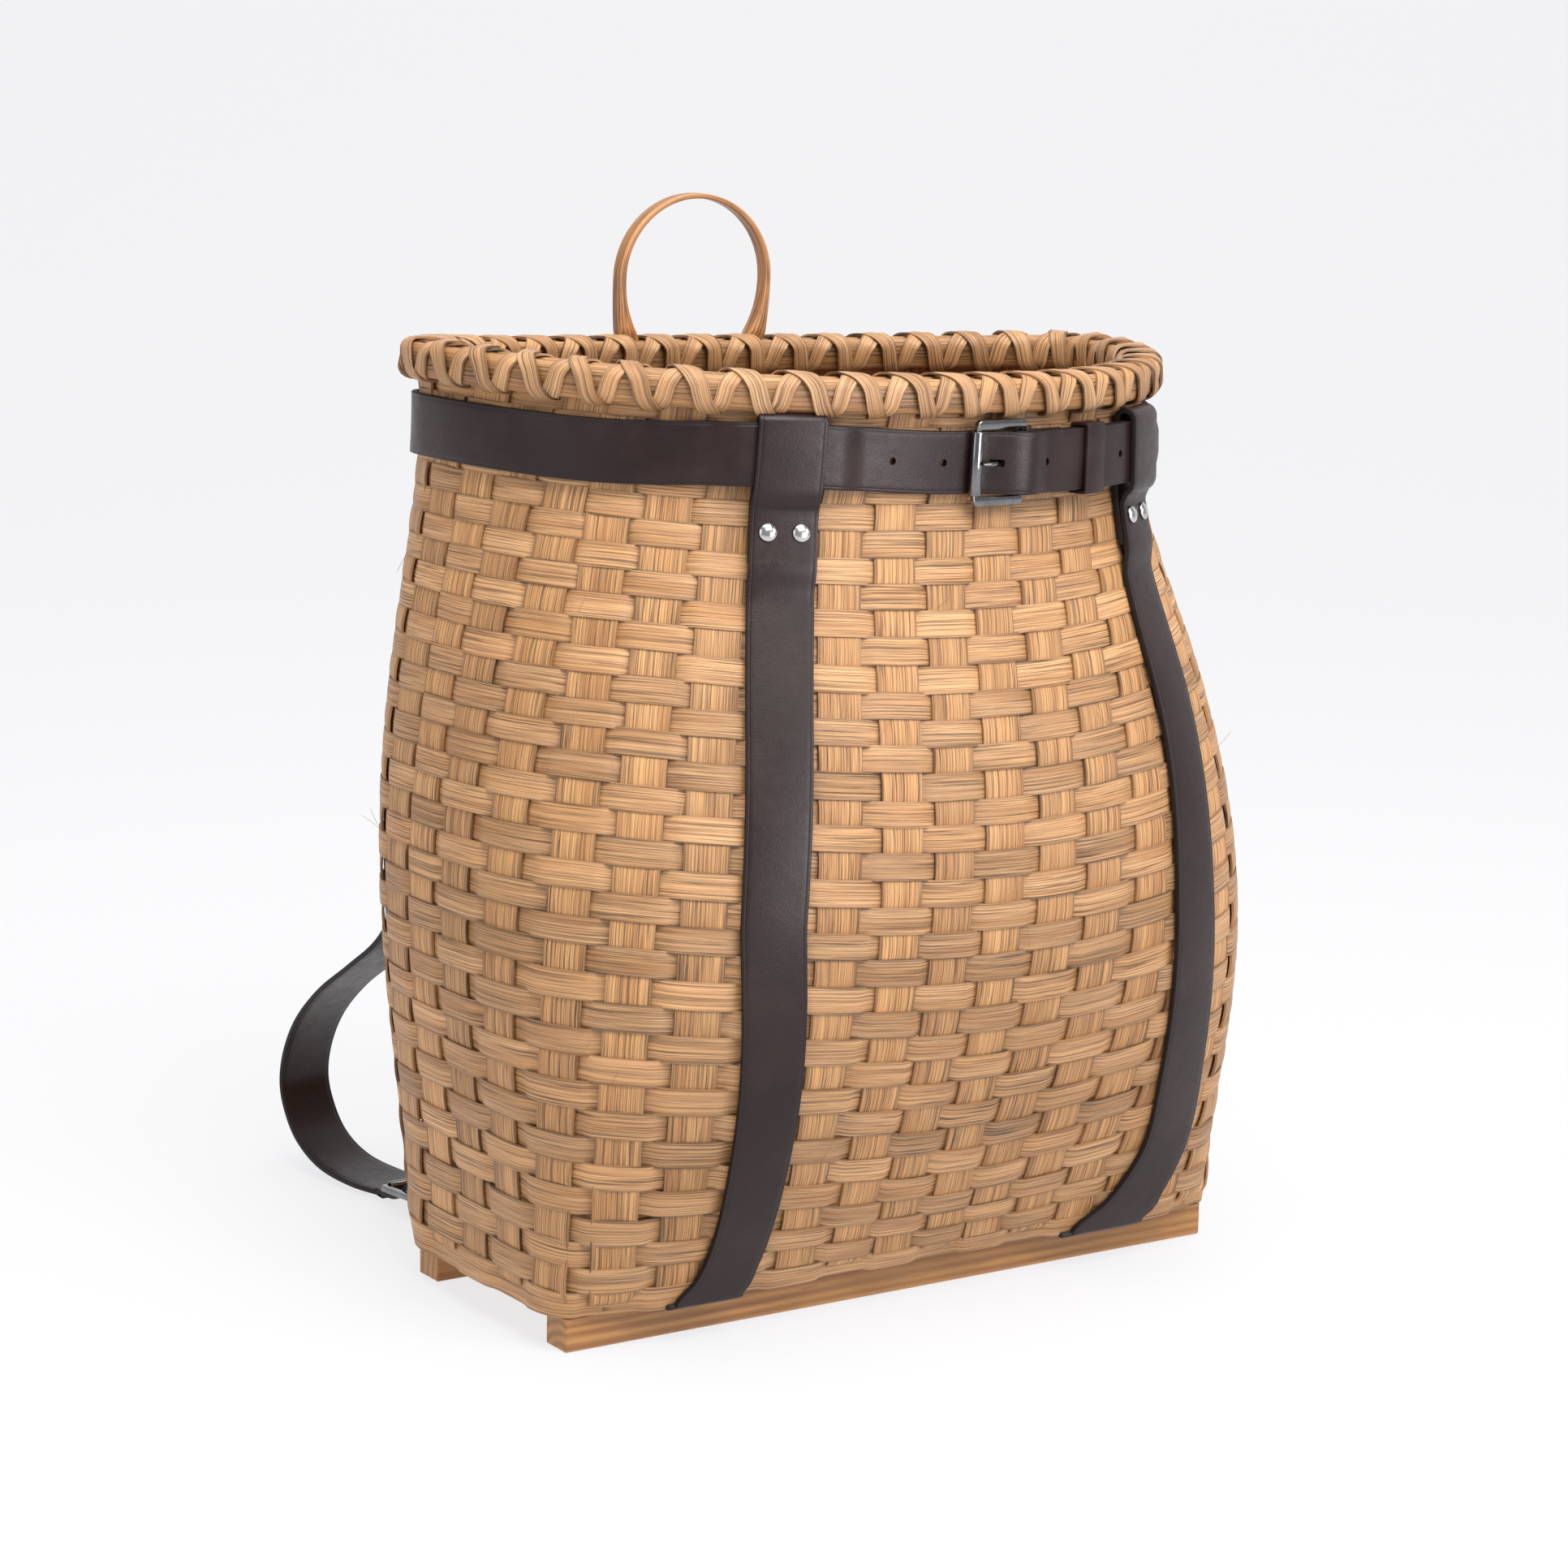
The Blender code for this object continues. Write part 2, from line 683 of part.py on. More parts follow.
rim_outer = sweep_rim("rim_outer_hoop", hoop_section(1), ALL_ROUND, True, HOOP_WOOD)
rim_inner = sweep_rim("rim_inner_hoop", hoop_section(-1), ALL_ROUND, True, HOOP_WOOD)
FOOT_TURNS = foot_turns(CLEAR)
between = [FOOT_TURNS[1], (FOOT_TURNS[1] + FOOT_TURNS[2]) / 2, FOOT_TURNS[2]]
round_front = [turn + 2 * math.pi for turn in ALL_ROUND if turn < FOOT_TURNS[0]]
round_back = [turn for turn in ALL_ROUND if turn > FOOT_TURNS[3]]
long_way = [FOOT_TURNS[3], *round_back, *round_front, FOOT_TURNS[0] + 2 * math.pi]
sweep_rim("rim_filler", filler_section(), long_way, False, HOOP_WOOD)
sweep_rim("rim_filler_behind_handle", filler_section(), between, False, HOOP_WOOD)
for name, direction, layer in (("rim_lacing_first", 1, 0), ("rim_lacing_second", -1, 1)):
    lace, middle_line, size = lace_rows(direction, layer)
    strip(name, lace, LACE_THICK, SPLINT)
    gap = least_gap(middle_line, size // 2 + 1)
    print(f"{name}: least gap between its loops {1000 * gap:.2f} mm")
cut(body, lace_slots())


# Handle


def make_handle():
    half = HANDLE_SPAN / 2
    foot = half * HANDLE_FOOT_SPAN_SHARE
    spring = HANDLE_RISE * HANDLE_SPRING_SHARE
    seats = []
    for side in (-1, 1):
        x = HANDLE_CENTRE_X + side * (foot - HANDLE_FOOT_WIDTH / 2)
        seats.append(rim_place(turn_at(1.0, x, front=False)))
    tops = [middle + up * (HOOP_HEIGHT / 2) + UP * CLEAR for middle, _, up in seats]
    arch = [math.pi * i / HANDLE_STEPS for i in range(HANDLE_STEPS + 1)]
    outer = [(half * math.cos(a), spring + (HANDLE_RISE - spring) * math.sin(a)) for a in arch]
    inner_half = half - HANDLE_SIDE_THICK
    inner_rise = HANDLE_RISE - spring - HANDLE_TOP_THICK
    inner = [(inner_half * math.cos(a), spring + inner_rise * math.sin(a)) for a in arch]
    flare = []
    for step in range(1, FLARE_STEPS + 1):
        f = step / FLARE_STEPS
        width = HANDLE_SIDE_THICK + (HANDLE_FOOT_WIDTH - HANDLE_SIDE_THICK) * f**2
        edge = half + (foot - half) * f**2
        flare.append((edge, edge - width, spring * (1 - f)))
    right_out = [(e, z) for e, _, z in reversed(flare)]
    left_out = [(-e, z) for e, _, z in flare]
    left_in = [(-i, z) for _, i, z in reversed(flare)]
    right_in = [(i, z) for _, i, z in flare]
    outline = right_out + outer + left_out + left_in + list(reversed(inner)) + right_in
    curve = flat_outline("carry_handle", [outline], HANDLE_DEPTH / 2, HANDLE_WOOD)
    upright = frame_matrix((tops[0] + tops[1]) / 2, tops[1] - tops[0], UP)
    place(curve, upright @ Matrix.Rotation(math.radians(90), 4, "X"))
    bpy.context.view_layer.update()
    handle = mesh_from_curve("carry_handle", curve, HANDLE_WOOD)
    low = HANDLE_TAIL_END_GAP - HOOP_HEIGHT / 2
    high = HOOP_HEIGHT / 2 + CUT_OVERRUN / 2
    for (middle, level, up), label in zip(seats, ("left", "right")):
        matrix = frame_matrix(middle + up * ((high + low) / 2), up, level)
        tail_sizes = (high - low, HANDLE_FOOT_WIDTH - 2 * CLEAR, WALL - 2 * CLEAR)
        notch_sizes = (high - low + 2 * CLEAR, HANDLE_FOOT_WIDTH, WALL + CUT_OVERRUN)
        tail = add_object(f"handle_tail_{label}", box_mesh("handle_tail", tail_sizes), None, cutters)
        notch = add_object(f"handle_notch_{label}", box_mesh("handle_notch", notch_sizes), None, cutters)
        cut(handle, as_cutter(place(tail, matrix)), "UNION")
        cut(body, as_cutter(place(notch, matrix)))


make_handle()


# Belt


def belt_lengths():
    turns = [-math.pi / 2 + 2 * math.pi * i / FINE_STEPS for i in range(FINE_STEPS + 1)]
    places = [body_point(BELT_SHARE, turn) for turn in turns]
    lengths = np.cumsum([0.0] + [(b - a).length for a, b in zip(places, places[1:])])
    return turns, lengths


BELT_TURNS, BELT_LENGTHS = belt_lengths()
BELT_ROUND = float(BELT_LENGTHS[-1])


def belt_face(along):
    return face(BELT_SHARE, float(np.interp(along % BELT_ROUND, BELT_LENGTHS, BELT_TURNS)))


def belt_point(along, out_by):
    point, out, _, _ = belt_face(along)
    return point + out * out_by


def belt_side(along):
    return belt_face(along)[2]


def belt_place_of(x, front=True):
    """How far along the belt, from the middle of the front, the body's outer face has this X."""
    turn = turn_at(BELT_SHARE, x, front)
    if turn < -math.pi / 2:
        turn += 2 * math.pi
    return float(np.interp(turn, BELT_TURNS, BELT_LENGTHS))


def anchor_keys(heel, run_to, fold_back):
    """The buckle end in (along, out): the folded-back end, the turn round the heel bar, the run away."""
    near = heel + BUCKLE_REACH / 2
    keys = spread([(heel, BELT_ON_BODY), (near, FOLD_END_N), (max(near, heel + fold_back), FOLD_END_N)], STEP)
    keys.reverse()
    for step in range(1, FOLD_STEPS):
        angle = -math.pi / 2 - math.pi * step / FOLD_STEPS
        keys.append((heel + FOLD_RADIUS * math.cos(angle), HEEL_N + FOLD_RADIUS * math.sin(angle)))
    away = [(heel, HEEL_TOP_N), (near, MAIN_N), (max(near, heel + fold_back), MAIN_N), (run_to, MAIN_N)]
    return keys + spread(away, STEP)


def billet_keys(roller, run_from, tip):
    """The tip end in (along, out): under the roller, over the heel bar and on to the tip."""
    heel = roller + BUCKLE_REACH
    flat_to = roller + ROLLER_RADIUS / 2
    keys = [(run_from, BELT_ON_BODY), (flat_to, BELT_ON_BODY), (heel, OVER_HEEL_N)]
    return spread([*keys, (heel + BUCKLE_REACH / 2, BILLET_N), (tip, BILLET_N)], STEP)


def with_rings(keys):
    """The keys of the plain run, eased where out changes, with the body's own corners where it doesn't."""
    turns = [turn - 2 * math.pi * (turn > 1.5 * math.pi) for turn in ALL_ROUND]
    rings = sorted(float(np.interp(turn, BELT_TURNS, BELT_LENGTHS)) for turn in turns)
    result = [keys[0]]
    for (a0, n0), (a1, n1) in zip(keys, keys[1:]):
        if n0 == n1:
            result += [(at, n0) for at in rings if a0 + CLEAR < at < a1 - CLEAR]
            result.append((a1, n1))
        else:
            result += spread([(a0, n0), (a1, n1)], STEP)[1:]
    return result


REAR_LOOPS_AT = sorted(belt_place_of(x, front=False) for x in (REAR_STRAP_X[2], -REAR_STRAP_X[2]))
LEFT_STRAP_AT = belt_place_of(LEFT_STRAP_X[2])
RIGHT_STRAP_AT = belt_place_of(RIGHT_STRAP_X[2])
BELT_TIP_AT = RIGHT_STRAP_AT + BELT_TIP_PAST_STRAP


def make_belt():
    edge = STRAP_WIDTH / 2 + STRAP_SLANT
    ramp = edge + LIFT_RAMP
    heel = ROLLER_AT + BUCKLE_REACH
    keys = anchor_keys(heel, RIGHT_STRAP_AT - edge, FOLD_BACK)
    columns = [RIGHT_STRAP_AT + share * STRAP_WIDTH for share in STRAP_SHARES]
    keys += [(at, MAIN_N) for at in columns]
    run = [(RIGHT_STRAP_AT + edge, MAIN_N), (BELT_TIP_AT + CLEAR, MAIN_N), (BELT_TIP_AT + ramp, BELT_ON_BODY)]
    for at in (*REAR_LOOPS_AT, LEFT_STRAP_AT):
        run += [(at - ramp, BELT_ON_BODY), (at - edge, MAIN_N)]
        run += [(at + share * STRAP_WIDTH, MAIN_N) for share in STRAP_SHARES]
        run += [(at + edge, MAIN_N), (at + ramp, BELT_ON_BODY)]
    end = BELT_ROUND + ROLLER_AT
    run.append((end - LIFT_RAMP, BELT_ON_BODY))
    keys += with_rings(run)
    keys += billet_keys(end, end - LIFT_RAMP, BELT_ROUND + RIGHT_STRAP_AT - edge)[1:]
    keys += [(BELT_ROUND + at, BILLET_N) for at in columns]
    keys += spread([(BELT_ROUND + RIGHT_STRAP_AT + edge, BILLET_N), (BELT_ROUND + BELT_TIP_AT, BILLET_N)], STEP)
    tip = BELT_ROUND + BELT_TIP_AT
    rows = []
    for along, out_by in keys:
        taper = max(0.0, 1.0 - (tip - along) / BELT_TIP_TAPER) ** 2
        width = BELT_WIDTH * (1.0 - (1.0 - BELT_TIP_WIDTH_SHARE) * taper)
        rows.append(row_at(belt_point(along, out_by), belt_side(along), width, (-0.5, 0.5)))
    return strip("belt", rows, BELT_THICK, LEATHER)


def hole_matrix(along, out_by):
    here = belt_point(along, out_by)
    ahead = belt_point(along + CUT_OVERRUN, out_by)
    return frame_matrix(here, ahead - here, belt_face(along)[1])


def belt_holes():
    first = ROLLER_AT + PRONG_HOLE_AT - HOLES_LEFT_OF_PRONG * HOLE_PITCH
    matrices = []
    for i in range(HOLE_COUNT):
        at = first + i * HOLE_PITCH
        if at < ROLLER_AT:
            matrices.append(hole_matrix(at, BELT_ON_BODY))
        elif at > ROLLER_AT + BUCKLE_REACH:
            matrices.append(hole_matrix(at, BILLET_N))
    holes = cylinder_mesh("belt_holes", HOLE_RADIUS, BELT_THICK + 2 * CLEAR, matrices)
    return as_cutter(add_object("belt_holes", holes, None, cutters))


belt = make_belt()
cut(belt, belt_holes())


# Buckles


class Lie:
    """Where a buckle lies: a place at (along, out), and the direction across the strap there."""

    def __init__(self, spot, side, roller):
        self.spot = spot
        self.side = side
        self.roller = roller
        self.heel = roller + BUCKLE_REACH

    def frame(self):
        """The local frame at the roller's axis, X to the heel bar and Z across the strap, and the reach."""
        start = self.spot(self.roller, ROLLER_N)
        end = self.spot(self.heel, HEEL_N)
        return frame_matrix(start, end - start, self.side(self.heel)), (end - start).length

    def level(self, along, out_by):
        """A frame at this place: X along the strap and Z across it."""
        middle = self.spot(along, out_by)
        ahead = self.spot(along + CUT_OVERRUN, out_by)
        return frame_matrix(middle, ahead - middle, self.side(along))


def make_prong(name, lie):
    """An open eye round the heel bar, a run under the strap's end, up through its hole, onto the roller."""
    matrix, reach = lie.frame()
    above = matrix.inverted() @ lie.spot(lie.roller, ROLLER_N + CUT_OVERRUN)
    outward = 1.0 if above.y > 0 else -1.0
    eye = BAR_REACH + CLEAR + PRONG_RADIUS
    over = ROLLER_RADIUS + CLEAR + PRONG_RADIUS
    route = []
    for step in range(EYE_STEPS):
        angle = PRONG_EYE_START - PRONG_EYE_TURN * step / EYE_STEPS
        route.append(Vector((eye * math.cos(angle), outward * eye * math.sin(angle), 0.0)))
    rest = [Vector((0.0, -outward * eye, 0.0))]
    rest += [
        Vector((-along * reach, outward * (over if up > 0 else eye) * up, 0.0)) for along, up in PRONG_SHARES
    ]
    route += through(rest, 3)
    curve = bpy.data.curves.new(name, "CURVE")
    curve.dimensions = "3D"
    curve.bevel_depth = PRONG_RADIUS
    curve.bevel_resolution = 1
    curve.use_fill_caps = True
    spline = curve.splines.new("POLY")
    spline.points.add(len(route) - 1)
    for point, co in zip(spline.points, route):
        point.co = (*co, 1.0)
    prong = add_object(name, curve, CHROME)
    place(prong, matrix @ Matrix.Translation((reach, 0.0, 0.0)))


def make_buckle(prefix, lie, width):
    matrix, reach = lie.frame()
    opening = width / 2 + 3 * CLEAR
    half_bar = BAR_WIDTH / 2
    outer = rounded_rectangle(-half_bar, reach + half_bar, opening + FRAME_ARM, FRAME_CORNER)
    inner = rounded_rectangle(half_bar, reach - half_bar, opening, FRAME_EDGE, steps=1)
    frame = flat_outline(f"{prefix}_frame", [outer, inner], FRAME_THICK / 2, CHROME, FRAME_EDGE)
    place(frame, matrix @ Matrix.Rotation(math.radians(90), 4, "X"))
    length = opening - 2 * CLEAR
    profile = [
        (ROLLER_INNER, length),
        (ROLLER_RADIUS, length),
        (ROLLER_RADIUS, -length),
        (ROLLER_INNER, -length),
        (ROLLER_INNER, length),
    ]
    place(turned(f"{prefix}_roller", profile, CHROME, steps=16), matrix)
    make_prong(f"{prefix}_prong", lie)


def prong_slots(name, lie):
    """Cutters: the slot in the fold for the prong's eye, and the long hole in the strap's tip end."""
    width = 2 * PRONG_RADIUS + 4 * CLEAR
    top = HEEL_TOP_N + BELT_THICK / 2 + CLEAR
    eye = BAR_REACH + CLEAR + 2 * PRONG_RADIUS + 2 * CLEAR
    fold = add_object(name + "_fold", box_mesh(name + "_fold", (2 * eye, top, width)), None, cutters)
    place(as_cutter(fold), lie.level(lie.heel, top / 2))
    thick = OVER_HEEL_N - BELT_ON_BODY
    hole = add_object(name + "_hole", box_mesh(name + "_hole", (PRONG_HOLE_LENGTH, thick, width)), None, cutters)
    place(as_cutter(hole), lie.level(lie.roller + PRONG_HOLE_AT, (BELT_ON_BODY + OVER_HEEL_N) / 2))
    return fold, hole


def make_keeper(name, lie, at, length, width, strap_thick):
    """A leather loop round the strap and the tip end that lies on it."""
    low = MAIN_N - strap_thick / 2 - KEEPER_SLACK
    high = BILLET_N + strap_thick / 2 + KEEPER_SLACK
    half = width / 2 + KEEPER_SLACK
    depth = (high - low) / 2
    thick = KEEPER_THICK
    outer = rounded_rectangle(-depth - thick, depth + thick, half + thick, thick, steps=2)
    inner = rounded_rectangle(-depth, depth, half, thick / 4, steps=1)
    keeper = flat_outline(name, [outer, inner], length / 2, LEATHER)
    along_first = Matrix(((0, 0, 1, 0), (1, 0, 0, 0), (0, 1, 0, 0), (0, 0, 0, 1)))
    return place(keeper, lie.level(at, (low + high) / 2) @ along_first)


front_lie = Lie(belt_point, belt_side, ROLLER_AT)
make_buckle("belt_buckle", front_lie, BELT_WIDTH)
for slot in prong_slots("belt_prong", front_lie):
    cut(belt, slot)
make_keeper("belt_keeper", front_lie, KEEPER_AT, KEEPER_LENGTH, BELT_WIDTH, BELT_THICK)


# Straps


def strap_x(values, share):
    return float(np.polyval(np.polyfit(STRAP_X_SHARES, values, 2), share))


def wall_row(values, front, share, out_by):
    """A row of points across a strap, each as far from the body's face: ordered from -X to +X."""
    x = strap_x(values, share)
    _, _, _, along = face(share, turn_at(share, x, front))
    row = []
    for place_share in STRAP_SHARES:
        turn = turn_at(share, x + place_share * STRAP_WIDTH * abs(along.x), front)
        point, out, _, _ = face(share, turn)
        row.append(point + out * out_by)
    return row


def rise_scale(values, front):
    """Metres up the wall for each unit of height share, at the belt."""
    turn = turn_at(BELT_SHARE, values[2], front)
    return (body_point(BELT_SHARE + PROBE, turn) - body_point(BELT_SHARE - PROBE, turn)).length / (2 * PROBE)


def upper_strap(values, front, over, low_share, rows):
    """The riveted loop over the belt from its tail, then the strap down the wall to a height share."""
    scale = rise_scale(values, front)
    half = BELT_WIDTH / 2
    rivet = -half - RIVET_BELOW_BELT
    tail = -half - LOOP_TAIL
    top = half + CLEAR
    radius = (over - TAIL_N) / 2
    eased = spread([(-half, over), (rivet + RIVET_CAP_RADIUS + CLEAR, RIVETED_N)], STEP / 2)
    eased += [(rivet - RIVET_CAP_RADIUS, RIVETED_N), (tail, RIVETED_N)]
    places = [(TAIL_N, u) for u, _ in reversed(eased)] + [(TAIL_N, 0.0)]
    for step in range(LOOP_STEPS + 1):
        angle = math.pi * (1 - step / LOOP_STEPS)
        places.append(((over + TAIL_N) / 2 + radius * math.cos(angle), top + radius * math.sin(angle)))
    places.append((over, 0.0))
    places += [(n, u) for u, n in eased]
    places += [(n, u) for u, n in spread([(tail - CLEAR, RIVETED_N), (tail - LIFT_RAMP, ON_BODY)], STEP)]
    result = [wall_row(values, front, BELT_SHARE + u / scale, n) for n, u in places]
    start = BELT_SHARE + (tail - LIFT_RAMP) / scale
    for i in range(1, rows + 1):
        result.append(wall_row(values, front, start + (low_share - start) * i / rows, ON_BODY))
    return result


def rivet_pair(prefix, values, front, strap):
    """Two cap rivets through the strap and its tail, below the belt."""
    share = BELT_SHARE - (BELT_WIDTH / 2 + RIVET_BELOW_BELT) / rise_scale(values, front)
    x = strap_x(values, share)
    _, _, _, along = face(share, turn_at(share, x, front))
    top = STRAP_THICK + 3 * CLEAR / 2
    back = top + RIVET_BACK_THICK - CLEAR
    profile = [(RIVET_CAP_RADIUS * r, top + RIVET_CAP_HEIGHT * z) for r, z in RIVET_CAP_SHARES]
    profile += [(RIVET_SHANK_RADIUS, top), (RIVET_SHANK_RADIUS, -top)]
    profile += [(RIVET_BACK_RADIUS, -top), (RIVET_BACK_RADIUS, -back), (0.0, -back)]
    matrices = []
    for side, label in ((-0.5, "left"), (0.5, "right")):
        point, out, _, round_it = face(share, turn_at(share, x + side * RIVET_SPACING * abs(along.x), front))
        matrix = frame_matrix(point + out * (TAIL_N + (STRAP_THICK + CLEAR) / 2), round_it, out)
        place(turned(f"{prefix}_rivet_{label}", profile, CHROME, steps=12), matrix)
        matrices.append(matrix)
    name = prefix + "_rivet_holes"
    holes = cylinder_mesh(name, RIVET_SHANK_RADIUS + CLEAR, 2 * top + 2 * CLEAR, matrices)
    cut(strap, as_cutter(add_object(name, holes, None, cutters)))


def rear_lie(x):
    """The sloping plane behind the base on which a rear buckle lies."""
    slope = Vector((0.0, -1.0, REAR_SLOPE)).normalized()
    out = Vector((0.0, REAR_SLOPE, 1.0)).normalized()
    start = Vector((x, REAR_PLANE_REACH, 0.0))
    roller = (REAR_PLANE_REACH - REAR_ROLLER_Y) / -slope.y
    return Lie(lambda along, out_by: start + slope * along + out * out_by, lambda along: ALONG_X, roller)


def make_body_strap(side, sign, values, over):
    """Loop over the belt, down the front, under the base, and back to the rear buckle."""
    rows = upper_strap(values, True, over, LAST_WALL_SHARE, DOWN_ROWS)
    x = values[0]
    columns = [x + share * STRAP_WIDTH for share in STRAP_SHARES]
    edge_y = min(body_point(0.0, turn_at(0.0, column)).y for column in columns)
    _, out, _, _ = face(LAST_WALL_SHARE, turn_at(LAST_WALL_SHARE, x))
    start = math.atan2(-out.z, -out.y)
    for step in range(CORNER_STEPS + 1):
        angle = start + (math.pi / 2 - start) * step / CORNER_STEPS
        corner = Vector((x, edge_y - ON_BODY * math.cos(angle), BASE_Z - UNDER_BASE * math.sin(angle)))
        rows.append(row_at(corner, ALONG_X, STRAP_WIDTH, STRAP_SHARES))
    back_x = sign * REAR_BUCKLE_X
    for y_share in UNDER_BASE_SHARES:
        under = Vector((x + (back_x - x) * (y_share + 1) / 2, y_share * RUNNER_SPACING / 2, BASE_Z - UNDER_BASE))
        rows.append(row_at(under, ALONG_X, STRAP_WIDTH, STRAP_SHARES))
    behind = Vector((back_x, (RUNNER_SPACING + RUNNER_DEPTH) / 2, BASE_Z - UNDER_BASE))
    rows.append(row_at(behind, ALONG_X, STRAP_WIDTH, STRAP_SHARES))
    lie = rear_lie(back_x)
    for key in reversed(anchor_keys(lie.heel, lie.heel + REAR_KEEPER_GAP + REAR_KEEPER_LENGTH, REAR_FOLD_BACK)):
        rows.append(row_at(lie.spot(*key), ALONG_X, STRAP_WIDTH, STRAP_SHARES))
    return strip(f"body_strap_{side}", rows, STRAP_THICK, LEATHER), lie


def make_shoulder_strap(side, sign, lie):
    """From the rear loop down the back, out in a slack loop, and through the rear buckle."""
    values = tuple(sign * x for x in REAR_STRAP_X)
    rows = upper_strap(values, False, OVER_BELT_N, SLACK_LEAVES_SHARE, BACK_ROWS)
    buckle_x = lie.spot(0.0, 0.0).x
    middle = [sum(row, Vector()) / len(row) for row in rows[-2:]]
    loop = []
    for reach, rise, out in reversed(SLACK_SHARES):
        x = buckle_x + (sign * SLACK_X - buckle_x) * out
        loop.append(Vector((x, SLACK_REACH * reach, SLACK_RISE * rise + ON_BODY)))
    keys = billet_keys(lie.roller, lie.roller - LIFT_RAMP, lie.heel + REAR_BILLET_OVER)
    ends = [lie.spot(*key) for key in keys]
    free = through([*middle, *loop, *ends[:2]], 2)[2:-2]
    first = (rows[-1][-1] - rows[-1][0]).normalized()
    for i, (point, direction) in enumerate(zip(free, along_path(free))):
        wish = first.lerp(ALONG_X, min(1.0, i / len(free) / SLACK_TWIST_SHARE))
        across = (wish - direction * wish.dot(direction)).normalized()
        if i:
            rows.append(row_at(point, across, STRAP_WIDTH, STRAP_SHARES))
    for i, point in enumerate(ends[1:]):
        left = len(ends) - 2 - i
        width = STRAP_WIDTH * (TIP_WIDTH_SHARES[left] if left < len(TIP_WIDTH_SHARES) else 1.0)
        rows.append(row_at(point, ALONG_X, width, STRAP_SHARES))
    return strip(f"shoulder_strap_{side}", rows, STRAP_THICK, LEATHER), values


for side, sign, values, over in (
    ("left", -1, LEFT_STRAP_X, OVER_BELT_N),
    ("right", 1, RIGHT_STRAP_X, OVER_BILLET_N),
):
    body_strap, lie = make_body_strap(side, sign, values, over)
    shoulder_strap, rear_values = make_shoulder_strap(side, sign, lie)
    rivet_pair(f"body_strap_{side}", values, True, body_strap)
    rivet_pair(f"shoulder_strap_{side}", rear_values, False, shoulder_strap)
    prefix = f"rear_buckle_{side}"
    make_buckle(prefix, lie, STRAP_WIDTH)
    fold_cut, hole_cut = prong_slots(prefix, lie)
    cut(body_strap, fold_cut)
    cut(shoulder_strap, hole_cut)
    at = lie.heel + REAR_KEEPER_GAP
    make_keeper(f"rear_keeper_{side}", lie, at, REAR_KEEPER_LENGTH, STRAP_WIDTH, STRAP_THICK)
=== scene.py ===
# Pack basket: woven splint body, laced rim, bentwood handle and a leather harness on two runners.
import math

import bpy
import numpy as np
from mathutils import Matrix, Vector


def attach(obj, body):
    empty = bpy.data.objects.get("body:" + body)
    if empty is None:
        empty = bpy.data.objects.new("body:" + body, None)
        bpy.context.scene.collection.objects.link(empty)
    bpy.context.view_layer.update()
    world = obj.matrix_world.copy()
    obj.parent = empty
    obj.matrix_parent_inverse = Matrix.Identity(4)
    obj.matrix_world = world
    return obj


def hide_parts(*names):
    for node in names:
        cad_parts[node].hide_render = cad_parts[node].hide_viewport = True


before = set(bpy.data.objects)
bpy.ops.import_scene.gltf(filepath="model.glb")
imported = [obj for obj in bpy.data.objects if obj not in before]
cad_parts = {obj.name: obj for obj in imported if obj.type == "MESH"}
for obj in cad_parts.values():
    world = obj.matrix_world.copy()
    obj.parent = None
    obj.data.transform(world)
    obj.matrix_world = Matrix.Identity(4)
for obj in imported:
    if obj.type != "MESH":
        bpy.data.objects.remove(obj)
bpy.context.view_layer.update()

clear = 0.0003  # the gap between pieces that touch
centreY = 0.06625  # the basket's own middle; everything below is measured from it


# Small helpers


def pickNone():
    if bpy.context.object and bpy.context.object.mode != "OBJECT":
        bpy.ops.object.mode_set(mode="OBJECT")
    bpy.ops.object.select_all(action="DESELECT")


def pickOnly(obj):
    pickNone()
    obj.select_set(True)
    bpy.context.view_layer.objects.active = obj


def applyModifiers(obj):
    pickOnly(obj)
    for modifier in list(obj.modifiers):
        bpy.ops.object.modifier_apply(modifier=modifier.name)


def joinPieces(name, pieces):
    pickNone()
    for piece in pieces:
        piece.select_set(True)
    bpy.context.view_layer.objects.active = pieces[0]
    bpy.ops.object.join()
    return named(pieces[0], name)


def named(obj, name):
    obj.name = obj.data.name = name
    return obj


def settle(obj, matrix):  # takes a piece that was made at the origin to its place
    obj.data.transform(Matrix.Translation((0, centreY, 0)) @ matrix)
    return obj


def selectOnly(obj, kind, test):  # goes into edit mode with the faces, edges or vertices that pass the test
    bpy.ops.object.mode_set(mode="EDIT")
    bpy.ops.mesh.select_mode(type=kind)
    bpy.ops.mesh.select_all(action="DESELECT")
    bpy.ops.object.mode_set(mode="OBJECT")
    for item in {"FACE": obj.data.polygons, "EDGE": obj.data.edges, "VERT": obj.data.vertices}[kind]:
        item.select = bool(test(item))
    bpy.ops.object.mode_set(mode="EDIT")


def closeSeams(obj, reach=0.00002):
    pickOnly(obj)
    bpy.ops.object.mode_set(mode="EDIT")
    bpy.ops.mesh.select_all(action="SELECT")
    bpy.ops.mesh.remove_doubles(threshold=reach)
    bpy.ops.mesh.normals_make_consistent(inside=False)
    bpy.ops.object.mode_set(mode="OBJECT")
    return obj


def fillEnds(obj):
    bpy.ops.object.mode_set(mode="EDIT")
    bpy.ops.mesh.select_all(action="DESELECT")
    bpy.ops.mesh.select_non_manifold()
    bpy.ops.mesh.fill()
    bpy.ops.object.mode_set(mode="OBJECT")
    return obj


def roundEdges(obj, width, segments=2, above=50):  # edges that turn by more degrees than this
    edges = obj.modifiers.new("edges", "BEVEL")
    edges.width = width
    edges.segments = segments
    edges.limit_method = "ANGLE"
    edges.angle_limit = math.radians(above)
    applyModifiers(obj)
    return obj


